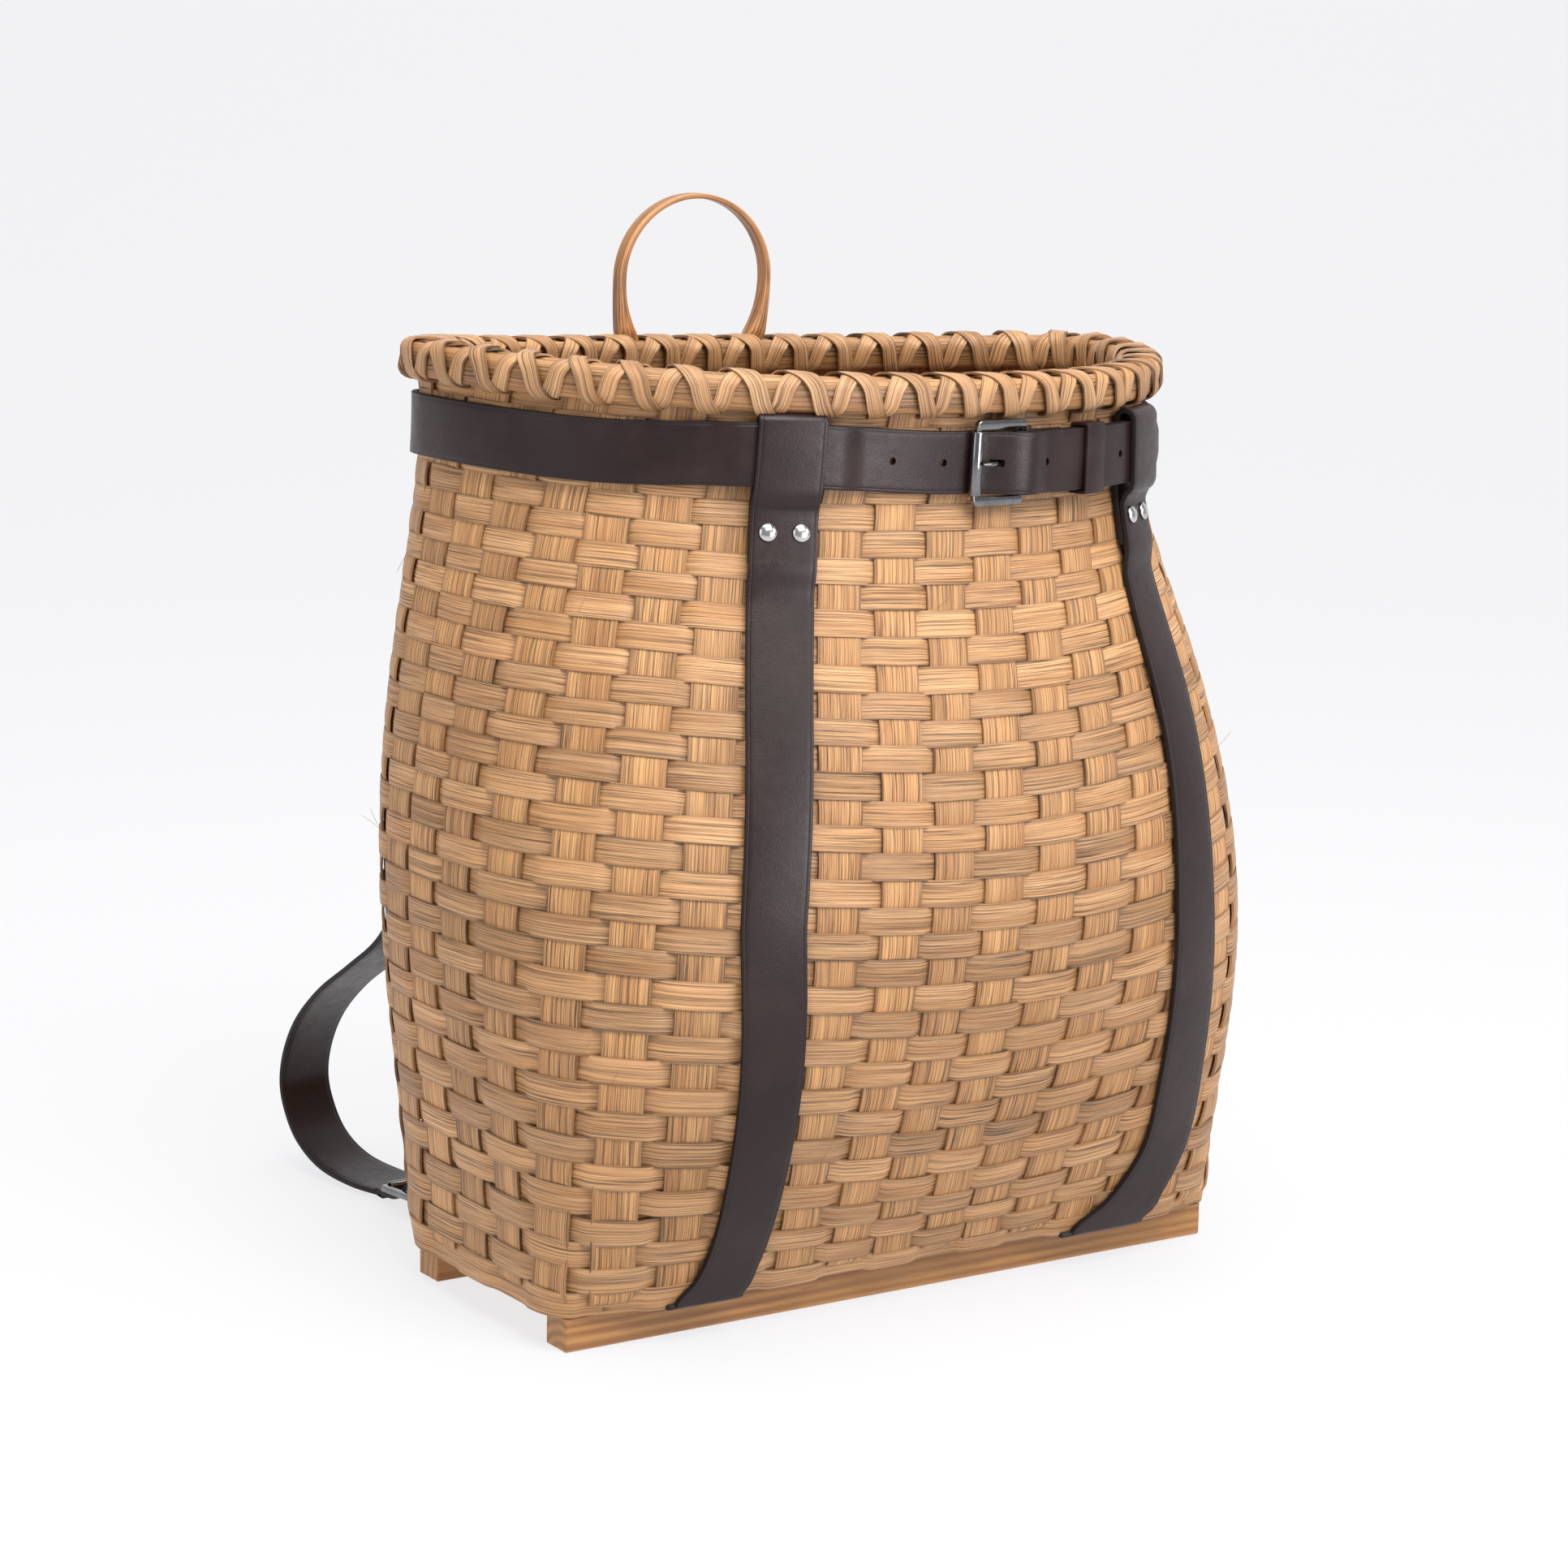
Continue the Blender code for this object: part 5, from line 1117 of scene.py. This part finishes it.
def cutWith(obj, cutter):
    modifier = obj.modifiers.new("hole", "BOOLEAN")
    modifier.operation = "DIFFERENCE"
    modifier.solver = "EXACT"
    modifier.object = cutter
    applyModifiers(obj)
    bpy.data.objects.remove(cutter, do_unlink=True)


def holeMatrix(along, outBy):
    here, ahead = beltSpot(along, outBy), beltSpot(along + 0.004, outBy)
    return frameMatrix(here, ahead - here, beltFace(along)[1])


class Lie:  # where a buckle lies: places at (along, out), and the direction across the strap
    def __init__(self, spot, side, roller):
        self.spot, self.side, self.roller = spot, side, roller
        self.heel = roller + buckle["reach"]

    def frame(self):
        start, end = self.spot(self.roller, rollerOut), self.spot(self.heel, heelOut)
        return frameMatrix(start, end - start, self.side(self.heel)), float(np.linalg.norm(end - start))

    def level(self, along, outBy):
        middle, ahead = self.spot(along, outBy), self.spot(along + 0.004, outBy)
        return frameMatrix(middle, ahead - middle, self.side(along))


def rearLie(x):
    slope = unit(np.array((0.0, -1.0, rearBuckle["slope"])))
    out = unit(np.array((0.0, rearBuckle["slope"], 1.0)))
    start = np.array((x, rearBuckle["startY"], 0.0))
    return Lie(lambda along, outBy: start + slope * along + out * outBy, lambda along: alongX,
               (rearBuckle["startY"] - rearBuckle["rollerY"]) / -slope[1])


frontLie = Lie(beltSpot, beltUp, buckle["rollerAt"])


def addCutter(kind, sizes, matrix):
    pickNone()
    if kind == "round":
        bpy.ops.mesh.primitive_cylinder_add(vertices=28, radius=sizes[0], depth=sizes[1])
    else:
        bpy.ops.mesh.primitive_cube_add(size=1.0)
        bpy.context.object.data.transform(Matrix.Diagonal((*sizes, 1.0)))
    return settle(bpy.context.object, matrix)


def prongCutters(lie):
    width = 2 * buckle["prong"] + 4 * clear
    top = heelTop + belt["thick"] / 2 + clear
    eye = barReach + clear + 2 * buckle["prong"] + 2 * clear
    thick = overHeel - beltOnBody
    fold = addCutter("box", (2 * eye, top, width), lie.level(lie.heel, top / 2))
    slot = addCutter("box", (belt["prongHoleLength"], thick, width),
                     lie.level(lie.roller + belt["prongHoleAt"], (beltOnBody + overHeel) / 2))
    return fold, slot


beltPiece = makeBelt()
firstHole = buckle["rollerAt"] + belt["prongHoleAt"] - 2 * belt["holePitch"]
for i in range(belt["holes"]):
    at = firstHole + i * belt["holePitch"]
    if at < buckle["rollerAt"]:
        depth, outBy = belt["holeDepth"], beltOnBody
    elif at > buckle["rollerAt"] + buckle["reach"]:
        depth, outBy = belt["tipHoleDepth"], billetOut
    else:
        continue
    cutWith(beltPiece, addCutter("round", (belt["holeRadius"], depth), holeMatrix(at, outBy)))
for cutter in prongCutters(frontLie):
    cutWith(beltPiece, cutter)
print("the belt is on")


# Straps down the front and the back


def wallRow(path, front, share, outBy):
    x = acrossX(path, share)
    along = faceAt(share, angleByX(share, x, front))[3]
    slope = (acrossX(path, share + 0.01) - acrossX(path, share - 0.01)) / (0.02 * wall["height"])
    xs = x + columnShares * strap["face"] * abs(along[0]) * math.sqrt(1 + slope * slope)
    spot, out, _, _ = faceAt(np.full_like(xs, share), angleByX(share, xs, front))
    return spot + out * outBy


def riseScale(path, front):
    angle = angleByX(beltShare, acrossX(path, beltShare), front)
    high, low = wallPoint(np.array(beltShare + 0.001), angle), wallPoint(np.array(beltShare - 0.001), angle)
    return float(np.linalg.norm(high - low)) / 0.002


def upperStrap(path, front, over, lowShare):
    scale = riseScale(path, front)
    half = belt["width"] / 2
    lift = belt["rise"] if path is paths["left"] else 0.0
    rivetUp = -half - strap["rivetBelow"]
    tail = -half - strap["tail"]
    top = half + clear + lift
    radius = (over - tailOut) / 2
    eased = spread([(lift - half, over), (rivetUp + rivet["cap"] + clear, rivetedOut)], finer)
    eased += [(rivetUp - rivet["cap"], rivetedOut), (tail, rivetedOut)]
    places = [(tailOut, u) for u, _ in reversed(eased)] + [(tailOut, 0.0)]
    for step in range(13):
        angle = math.pi * (1 - step / 12)
        places.append(((over + tailOut) / 2 + radius * math.cos(angle), top + radius * math.sin(angle)))
    places.append((over, 0.0))
    places += [(n, u) for u, n in eased]
    places += [(n, u) for u, n in spread([(tail - clear, rivetedOut), (tail - strap["ramp"], onBody)], fine)]
    rows = [wallRow(path, front, beltShare + u / scale, n) for n, u in places]
    start = beltShare + (tail - strap["ramp"]) / scale
    for share in np.linspace(start, lowShare, int((start - lowShare) * strap["rowsPerHeight"]))[1:]:
        rows.append(wallRow(path, front, share, onBody))
    return rows


def makeBodyStrap(side, sign, path, over):
    footShare = strap["footShare"]
    rows = upperStrap(path, True, over, footShare)
    low, x = acrossX(path, footShare), acrossX(path, strap["toShare"])
    footWidth = rows[-1][-1][0] - rows[-1][0][0]
    out = faceAt(footShare, angleByX(footShare, low))[1]
    start = math.atan2(-out[2], -out[1])
    underBase = clear + strap["thick"] / 2
    for step in range(9):
        angle = start + (math.pi / 2 - start) * step / 8
        xs = low + (x - low) * ease(step / 8) + columnShares * footWidth
        foot = wallPoint(np.zeros_like(xs), angleByX(0.0, xs))
        foot[:, 0] = xs
        foot[:, 1] -= onBody * math.cos(angle)
        foot[:, 2] = wall["baseZ"] - underBase * math.sin(angle)
        rows.append(foot)
    backX = sign * rearBuckle["x"]
    for share in np.linspace(-1, 1, 30):
        under = np.array((x + (backX - x) * (share + 1) / 2, share * strap["underTo"], wall["baseZ"] - underBase))
        width = footWidth + (strap["width"] - footWidth) * (share + 1) / 2
        rows.append(rowOf(under, alongX, width))
    rows.append(rowOf(np.array((backX, strap["leavesBaseY"], wall["baseZ"] - underBase)), alongX, strap["width"]))
    lie = rearLie(backX)
    for key in reversed(anchorKeys(lie.heel, lie.heel + rearBuckle["meets"], rearBuckle["foldBack"])):
        rows.append(rowOf(lie.spot(*key), alongX, strap["width"]))
    return layStrap(f"bodyStrap{side.title()}", rows, strap["thick"], f"body_strap_{side}"), lie


slack = {
    "reach": 0.300, "rise": 0.155, "x": 0.158, "leavesShare": 0.47, "twistShare": 0.333, "turn": -0.18,
    "shares": (
        (0.760, 0.016, 0.40), (0.850, 0.040, 0.75), (0.920, 0.105, 0.95), (0.968, 0.205, 1.0), (0.986, 0.310, 1.0),
        (0.966, 0.440, 1.0), (0.915, 0.575, 1.0), (0.830, 0.715, 0.95), (0.720, 0.850, 0.88),
        (0.620, 0.985, 0.80), (0.540, 1.180, 0.65),
    ),
}


def makeShoulderStrap(side, sign, lie):
    path = paths[f"rear{side.title()}"]
    rows = upperStrap(path, False, overBelt, slack["leavesShare"])
    buckleX = float(lie.spot(0.0, 0.0)[0])
    middle = [np.mean(rows[i], axis=0) for i in (-8, -1)]
    loop = []
    for reach, rise, out in reversed(slack["shares"]):
        loop.append(np.array((buckleX + (sign * slack["x"] - buckleX) * out, slack["reach"] * reach,
                              slack["rise"] * rise + onBody)))
    keys = billetKeys(lie.roller, lie.roller - strap["ramp"], lie.heel + rearBuckle["tipPast"])
    ends = [lie.spot(*key) for key in keys]
    free = through([*middle, *loop, ends[0], ends[2]], 8)[8:-8]
    first = unit(rows[-1][-1] - rows[-1][0])
    for i, point in enumerate(free):
        direction = unit(free[min(i + 1, len(free) - 1)] - free[max(i - 1, 0)])
        turned = np.array((1.0, sign * slack["turn"] * math.sin(math.pi * i / len(free)), 0.0))
        wish = first + (turned - first) * min(1.0, i / len(free) / slack["twistShare"])
        sideways = unit(wish - direction * wish.dot(direction))
        if i:
            width = strap["face"] + (strap["width"] - strap["face"]) * float(ease(4 * i / len(free) - 3))
            rows.append(rowOf(point, sideways, width))
    tip = keys[-1][0]
    for (along, _), point in zip(keys[1:], ends[1:]):
        taper = max(0.0, 1 - (tip - along) / strap["tipTaper"]) ** 2
        rows.append(rowOf(point, alongX, strap["width"] * (1 - strap["tipNarrows"] * taper)))
    return layStrap(f"shoulderStrap{side.title()}", rows, strap["thick"], f"shoulder_strap_{side}"), path


# Metal parts and keepers; the rivet is made once and copied


def makeRivet():
    pickNone()
    bpy.ops.mesh.primitive_uv_sphere_add(segments=28, ring_count=14, radius=1.0)
    obj = bpy.context.object
    bpy.ops.object.mode_set(mode="EDIT")
    bpy.ops.mesh.select_all(action="SELECT")
    bpy.ops.mesh.bisect(plane_co=(0, 0, 0.02), plane_no=(0, 0, 1), clear_inner=True, use_fill=True)
    bpy.ops.object.mode_set(mode="OBJECT")
    top = strap["thick"] + 1.5 * clear
    bottom = -(top + rivet["backThick"] - clear)
    dome = Matrix.Diagonal((rivet["cap"], rivet["cap"], rivet["capHeight"], 1))
    obj.data.transform(Matrix.Translation((0, 0, top)) @ dome)
    pieces = [obj]
    for radius, low, high in ((rivet["shank"], -top, top), (rivet["back"], bottom, -top)):
        bpy.ops.mesh.primitive_cylinder_add(vertices=24, radius=radius, depth=high - low,
                                            location=(0, 0, (low + high) / 2))
        pieces.append(bpy.context.object)
        bpy.ops.object.transform_apply()
    return roundEdges(joinPieces("rivetPattern", pieces), rivet["edge"], above=60)


def makeBuckleFrame(opening, reach):
    halfBar = buckle["bar"] / 2
    pickNone()
    bpy.ops.mesh.primitive_grid_add(x_subdivisions=3, y_subdivisions=3, size=1.0)
    obj = bpy.context.object
    xs = (-halfBar, halfBar, reach - halfBar, reach + halfBar)
    ys = (-opening - buckle["arm"], -opening, opening, opening + buckle["arm"])
    for vertex in obj.data.vertices:
        i, j = round((vertex.co.x + 0.5) * 3), round((vertex.co.y + 0.5) * 3)
        vertex.co = (xs[i], ys[j], 0)
    selectOnly(obj, "FACE", lambda face: face.index == 4)  # the middle of the nine
    bpy.ops.mesh.delete(type="FACE")
    selectOnly(obj, "VERT", lambda vertex: abs(vertex.co.y) > opening + 0.001 and not 0 <= vertex.co.x <= reach)
    bpy.ops.mesh.bevel(offset=buckle["corner"], segments=6, affect="VERTICES")
    bpy.ops.object.mode_set(mode="OBJECT")
    thicken(obj, buckle["thick"], buckle["edge"], segments=5, even=False)
    armMiddle = opening + buckle["arm"] / 2
    bpy.ops.object.mode_set(mode="EDIT")
    for side in (-1, 1):
        for part in (-0.25, 0.0, 0.25):
            bpy.ops.mesh.select_all(action="SELECT")
            bpy.ops.mesh.bisect(plane_co=(0, side * (armMiddle + part * buckle["arm"]), 0), plane_no=(0, 1, 0))
    bpy.ops.object.mode_set(mode="OBJECT")
    for vertex in obj.data.vertices:  # the two arms are crowned
        part = (abs(vertex.co.y) - armMiddle) / (buckle["arm"] / 2)
        vertex.co.z *= 1 + buckle["crown"] * max(0.0, 1 - part * part)
    return obj


def makeRoller(length):
    pickNone()
    bpy.ops.mesh.primitive_cylinder_add(vertices=36, radius=rollerRadius, depth=2 * length, end_fill_type="NOTHING")
    return thicken(bpy.context.object, buckle["rollerWall"], buckle["rollerEdge"], offset=-1.0, even=False)


prong = {
    "hookFrom": 195, "hookTurn": 285, "hookSteps": 22, "tipSteps": 5, "tipRadius": 0.72,
    "shares": ((0.26, -1.0), (0.49, -0.92), (0.573, -0.35), (0.615, 0.45), (0.68, 0.88), (0.78, 1.0), (0.98, 1.0)),
}


def makeProng(name, lie):
    matrix, reach = lie.frame()
    above = matrix.inverted() @ Vector(lie.spot(lie.roller, rollerOut + 0.004))
    outward = 1.0 if above.y > 0 else -1.0
    eye = barReach + clear + buckle["prong"]
    over = rollerRadius + clear + buckle["prong"]
    route = []
    for step in range(prong["hookSteps"]):
        angle = math.radians(prong["hookFrom"]) - math.radians(prong["hookTurn"]) * step / prong["hookSteps"]
        route.append(Vector((eye * math.cos(angle), outward * eye * math.sin(angle), 0.0)))
    rest = [Vector((0.0, -outward * eye, 0.0))]
    rest += [Vector((-a * reach, outward * (over if u > 0 else eye) * u, 0.0)) for a, u in prong["shares"]]
    route += through(rest, 6)
    curve = bpy.data.curves.new(name, "CURVE")
    curve.dimensions = "3D"
    curve.bevel_depth = buckle["prong"]
    curve.bevel_resolution = 3
    curve.use_fill_caps = True
    spline = curve.splines.new("POLY")
    spline.points.add(len(route) - 1)
    for i, (point, co) in enumerate(zip(spline.points, route)):
        point.co = (*co, 1.0)
        left = min(len(route) - 1 - i, prong["tipSteps"])
        point.radius = prong["tipRadius"] + (1 - prong["tipRadius"]) * left / prong["tipSteps"]
    obj = bpy.data.objects.new(name, curve)
    bpy.context.scene.collection.objects.link(obj)
    pickOnly(obj)
    bpy.ops.object.convert(target="MESH")
    return closeSeams(settle(bpy.context.object, matrix @ Matrix.Translation((reach, 0, 0))), 0.00001)


def makeKeeper(name, lie, at, length, width, thick):
    low = mainOut - thick / 2 - buckle["keeperSlack"]
    high = billetOut + thick / 2 + buckle["keeperSlack"]
    half = width / 2 + buckle["keeperSlack"]
    pickNone()
    bpy.ops.mesh.primitive_cube_add(size=1.0)
    obj = bpy.context.object
    leatherThick = buckle["keeperThick"]
    obj.data.transform(Matrix.Diagonal((length, high - low + 2 * leatherThick, 2 * (half + leatherThick), 1.0)))

    def runsAlong(edge):
        a, b = (obj.data.vertices[i].co for i in edge.vertices)
        return abs(a.x - b.x) > 0.5 * length

    selectOnly(obj, "FACE", lambda face: abs(face.normal.x) > 0.5)
    bpy.ops.mesh.delete(type="FACE")
    selectOnly(obj, "EDGE", runsAlong)
    bpy.ops.mesh.bevel(offset=buckle["keeperCorner"], segments=4)
    bpy.ops.object.mode_set(mode="OBJECT")
    thicken(obj, leatherThick, buckle["keeperEdge"], above=60, offset=-1.0)
    return settle(named(obj, name), lie.level(at, (low + high) / 2))


alongFirst = Matrix.Rotation(math.radians(90), 4, "X")
rivetPattern = makeRivet()


def placeRivets(prefix, nodePrefix, path, front, strapPiece):
    share = beltShare - (belt["width"] / 2 + strap["rivetBelow"]) / riseScale(path, front)
    x = acrossX(path, share)
    along = faceAt(share, angleByX(share, x, front))[3]
    for side, label in ((-0.5, "left"), (0.5, "right")):
        spot, out, _, round_ = faceAt(share, angleByX(share, x + side * rivet["spacing"] * abs(along[0]), front))
        matrix = frameMatrix(spot + out * (tailOut + (strap["thick"] + clear) / 2), round_, out)
        cutWith(strapPiece, addCutter("round", (rivet["shank"] + clear, 2 * strap["thick"] + 0.004), matrix))
        cap = placeCopy(rivetPattern, f"{prefix}Rivet{label.title()}", matrix)
        dress(cap, finishes["rivet"], "chrome", "basket", f"{nodePrefix}_rivet_{label}", smooth=50)


def placeBuckle(prefix, nodePrefix, lie, width, bodies):
    matrix, reach = lie.frame()
    opening = width / 2 + 3 * clear
    bow = settle(named(makeBuckleFrame(opening, reach), prefix + "Frame"), matrix @ alongFirst)
    roller = settle(named(makeRoller(opening - 2 * clear), prefix + "Roller"), matrix)
    tongue = makeProng(prefix + "Prong", lie)
    for piece, body, part, smooth in ((bow, "basket", "frame", 45), (roller, bodies[1], "roller", 45),
                                      (tongue, bodies[0], "prong", 60)):
        dress(piece, finishes["chrome"], "chrome", body, f"{nodePrefix}_{part}", smooth=smooth)


placeBuckle("beltBuckle", "belt_buckle", frontLie, belt["width"], ("belt_prong", "belt_roller"))
keeper = makeKeeper("beltKeeper", frontLie, belt["keeperAt"], belt["keeperLength"], belt["width"], belt["thick"])
dress(keeper, finishes["leather"], "leather", "belt_keeper_body", "belt_keeper", smooth=45)
for side, sign, over in (("left", -1, overBelt), ("right", 1, overBillet)):
    bodyStrap, lie = makeBodyStrap(side, sign, paths[side], over)
    shoulderStrap, rearPath = makeShoulderStrap(side, sign, lie)
    title = side.title()
    placeRivets(f"bodyStrap{title}", f"body_strap_{side}", paths[side], True, bodyStrap)
    placeRivets(f"shoulderStrap{title}", f"shoulder_strap_{side}", rearPath, False, shoulderStrap)
    joints = f"{side}_prong", f"{side}_roller"
    placeBuckle(f"rearBuckle{title}", f"rear_buckle_{side}", lie, strap["width"], joints)
    foldCutter, slotCutter = prongCutters(lie)
    cutWith(bodyStrap, foldCutter)
    cutWith(shoulderStrap, slotCutter)
    keeper = makeKeeper(f"rearKeeper{title}", lie, lie.heel + rearBuckle["keeperPast"], rearBuckle["keeperLength"],
                        strap["width"], strap["thick"])
    dress(keeper, finishes["leather"], "leather", f"{side}_keeper", f"rear_keeper_{side}", smooth=45)
bpy.data.objects.remove(rivetPattern, do_unlink=True)
print("the harness is buckled on")
dress(makeLooseFibres(), finishes["lacing"], "splint", "basket")


# Runners and screws keep their solids and take their finishes

for name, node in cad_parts.items():
    if name.endswith("_runner") or "_runner_screw_" in name:
        node.data.materials.clear()
        node.data.materials.append(finishes["steel" if "screw" in name else "runner"])
print("the runners are stained")


# Backdrop, lights and camera

view = {"side": 33.69, "down": 11.66, "distance": 2.368, "focal": 102.48, "roll": 1.25, "height": 0.2590,
        "shift": -0.0234}
sweep = {"width": 14, "length": 12, "start": -4.5, "flat": 6.5, "bend": 2.4, "radius": 1.53, "drop": 0.0004,
         "colour": (0.17, 0.17, 0.172, 1), "glow": 0.765, "glowColour": (0.985, 0.985, 1.0, 1)}
surround = {"colour": (0.97, 0.98, 1.0, 1), "lights": 0.42, "seen": 0.88, "middle": 0.25}
# Lights: towards the camera, to the right and up from the middle; how far above it they aim; size, power, colour
lights = {
    "keyLight": (1.15, 0.55, 1.55, 0.12, (1.1, 1.1), 30.0, (1.0, 0.985, 0.96)),
    "sideLight": (0.75, 1.8, 0.95, 0.1, (0.6, 0.7), 10.0, (1.0, 0.99, 0.98)),
    "fillLight": (1.6, -1.9, 0.8, 0.0, (1.4, 1.6), 8.5, (0.95, 0.97, 1.0)),
    "topLight": (0.2, 0.0, 1.9, 0.0, (1.8, 1.8), 29.0, (1.0, 1.0, 1.0)),
    "sheenLight": (1.4, 1.4, 0.26, 0.1, (0.9, 0.8), 20.0, (0.99, 0.99, 1.0)),
}


def aimCamera():
    side, down, roll = (math.radians(view[key]) for key in ("side", "down", "roll"))
    ahead = Vector((math.sin(side) * math.cos(down), math.cos(side) * math.cos(down), -math.sin(down)))
    right = Vector((math.cos(side), -math.sin(side), 0))
    up = right.cross(ahead)
    r = right * math.cos(roll) + up * math.sin(roll)
    u = up * math.cos(roll) - right * math.sin(roll)
    matrix = Matrix((r, u, -ahead)).transposed().to_4x4()
    matrix.translation = Vector((0, centreY, view["height"])) + right * view["shift"] - ahead * view["distance"]
    data = bpy.data.cameras.new("viewCamera")
    data.lens = view["focal"]
    data.sensor_width = 36.0
    camera = bpy.data.objects.new("viewCamera", data)
    camera.matrix_world = matrix
    bpy.context.scene.collection.objects.link(camera)
    bpy.context.scene.camera = camera
    return ahead, right


def makeBackdrop(level, right):
    pickNone()
    bpy.ops.mesh.primitive_grid_add(x_subdivisions=2, y_subdivisions=60, size=1.0)
    obj = bpy.context.object
    obj.name = "studioSweep"
    flat, bend, radius = sweep["flat"], sweep["bend"], sweep["radius"]
    for vertex in obj.data.vertices:
        d = (vertex.co.y + 0.5) * sweep["length"]
        a = min(max(d - flat, 0.0) / bend, 1.0) * math.pi / 2
        y = min(d, flat) + sweep["start"] + radius * math.sin(a)
        z = radius * (1 - math.cos(a)) + max(0.0, d - flat - bend)
        spot = right * (vertex.co.x * sweep["width"]) + level * y
        vertex.co = (spot.x, spot.y + centreY, z - sweep["drop"])
    pickOnly(obj)
    bpy.ops.object.shade_smooth()
    material = bpy.data.materials.new("studioSweep")
    material.use_nodes = True
    shader = material.node_tree.nodes["Principled BSDF"]
    for key, value in (("Base Color", sweep["colour"]), ("Roughness", 0.9), ("Specular IOR Level", 0.1),
                       ("Emission Color", sweep["glowColour"]), ("Emission Strength", sweep["glow"])):
        shader.inputs[key].default_value = value
    obj.data.materials.append(material)


def addLight(name, spot, aim, size, power, colour):
    data = bpy.data.lights.new(name, "AREA")
    data.shape = "RECTANGLE"
    data.size, data.size_y = size
    data.energy = power
    data.color = colour
    light = bpy.data.objects.new(name, data)
    light.location = spot
    light.rotation_euler = (aim - spot).to_track_quat("-Z", "Y").to_euler()
    light.visible_diffuse = name != "sheenLight"  # that one is for the satin on the leather and the shine of metal
    bpy.context.scene.collection.objects.link(light)


ahead, right = aimCamera()
level = Vector((ahead.x, ahead.y, 0)).normalized()
makeBackdrop(level, right)
middle = Vector((0, centreY, surround["middle"]))
for name, (near, aside, up, above, size, power, colour) in lights.items():
    spot = middle - level * near + right * aside + Vector((0, 0, up))
    addLight(name, spot, middle + Vector((0, 0, above)), size, power, colour)
world = bpy.data.worlds.new("studioLight")
world.use_nodes = True
background = world.node_tree.nodes["Background"].inputs
background["Color"].default_value = surround["colour"]
rays = addNode(world.node_tree, "ShaderNodeLightPath", (-3, 0)).outputs["Is Camera Ray"]
glow = banded(world.node_tree, rays, 0.0, 1.0, (-2, 0), surround["lights"], surround["seen"])
join(world.node_tree, glow, background["Strength"])
bpy.context.scene.world = world
bpy.context.scene.view_settings.view_transform = "Standard"
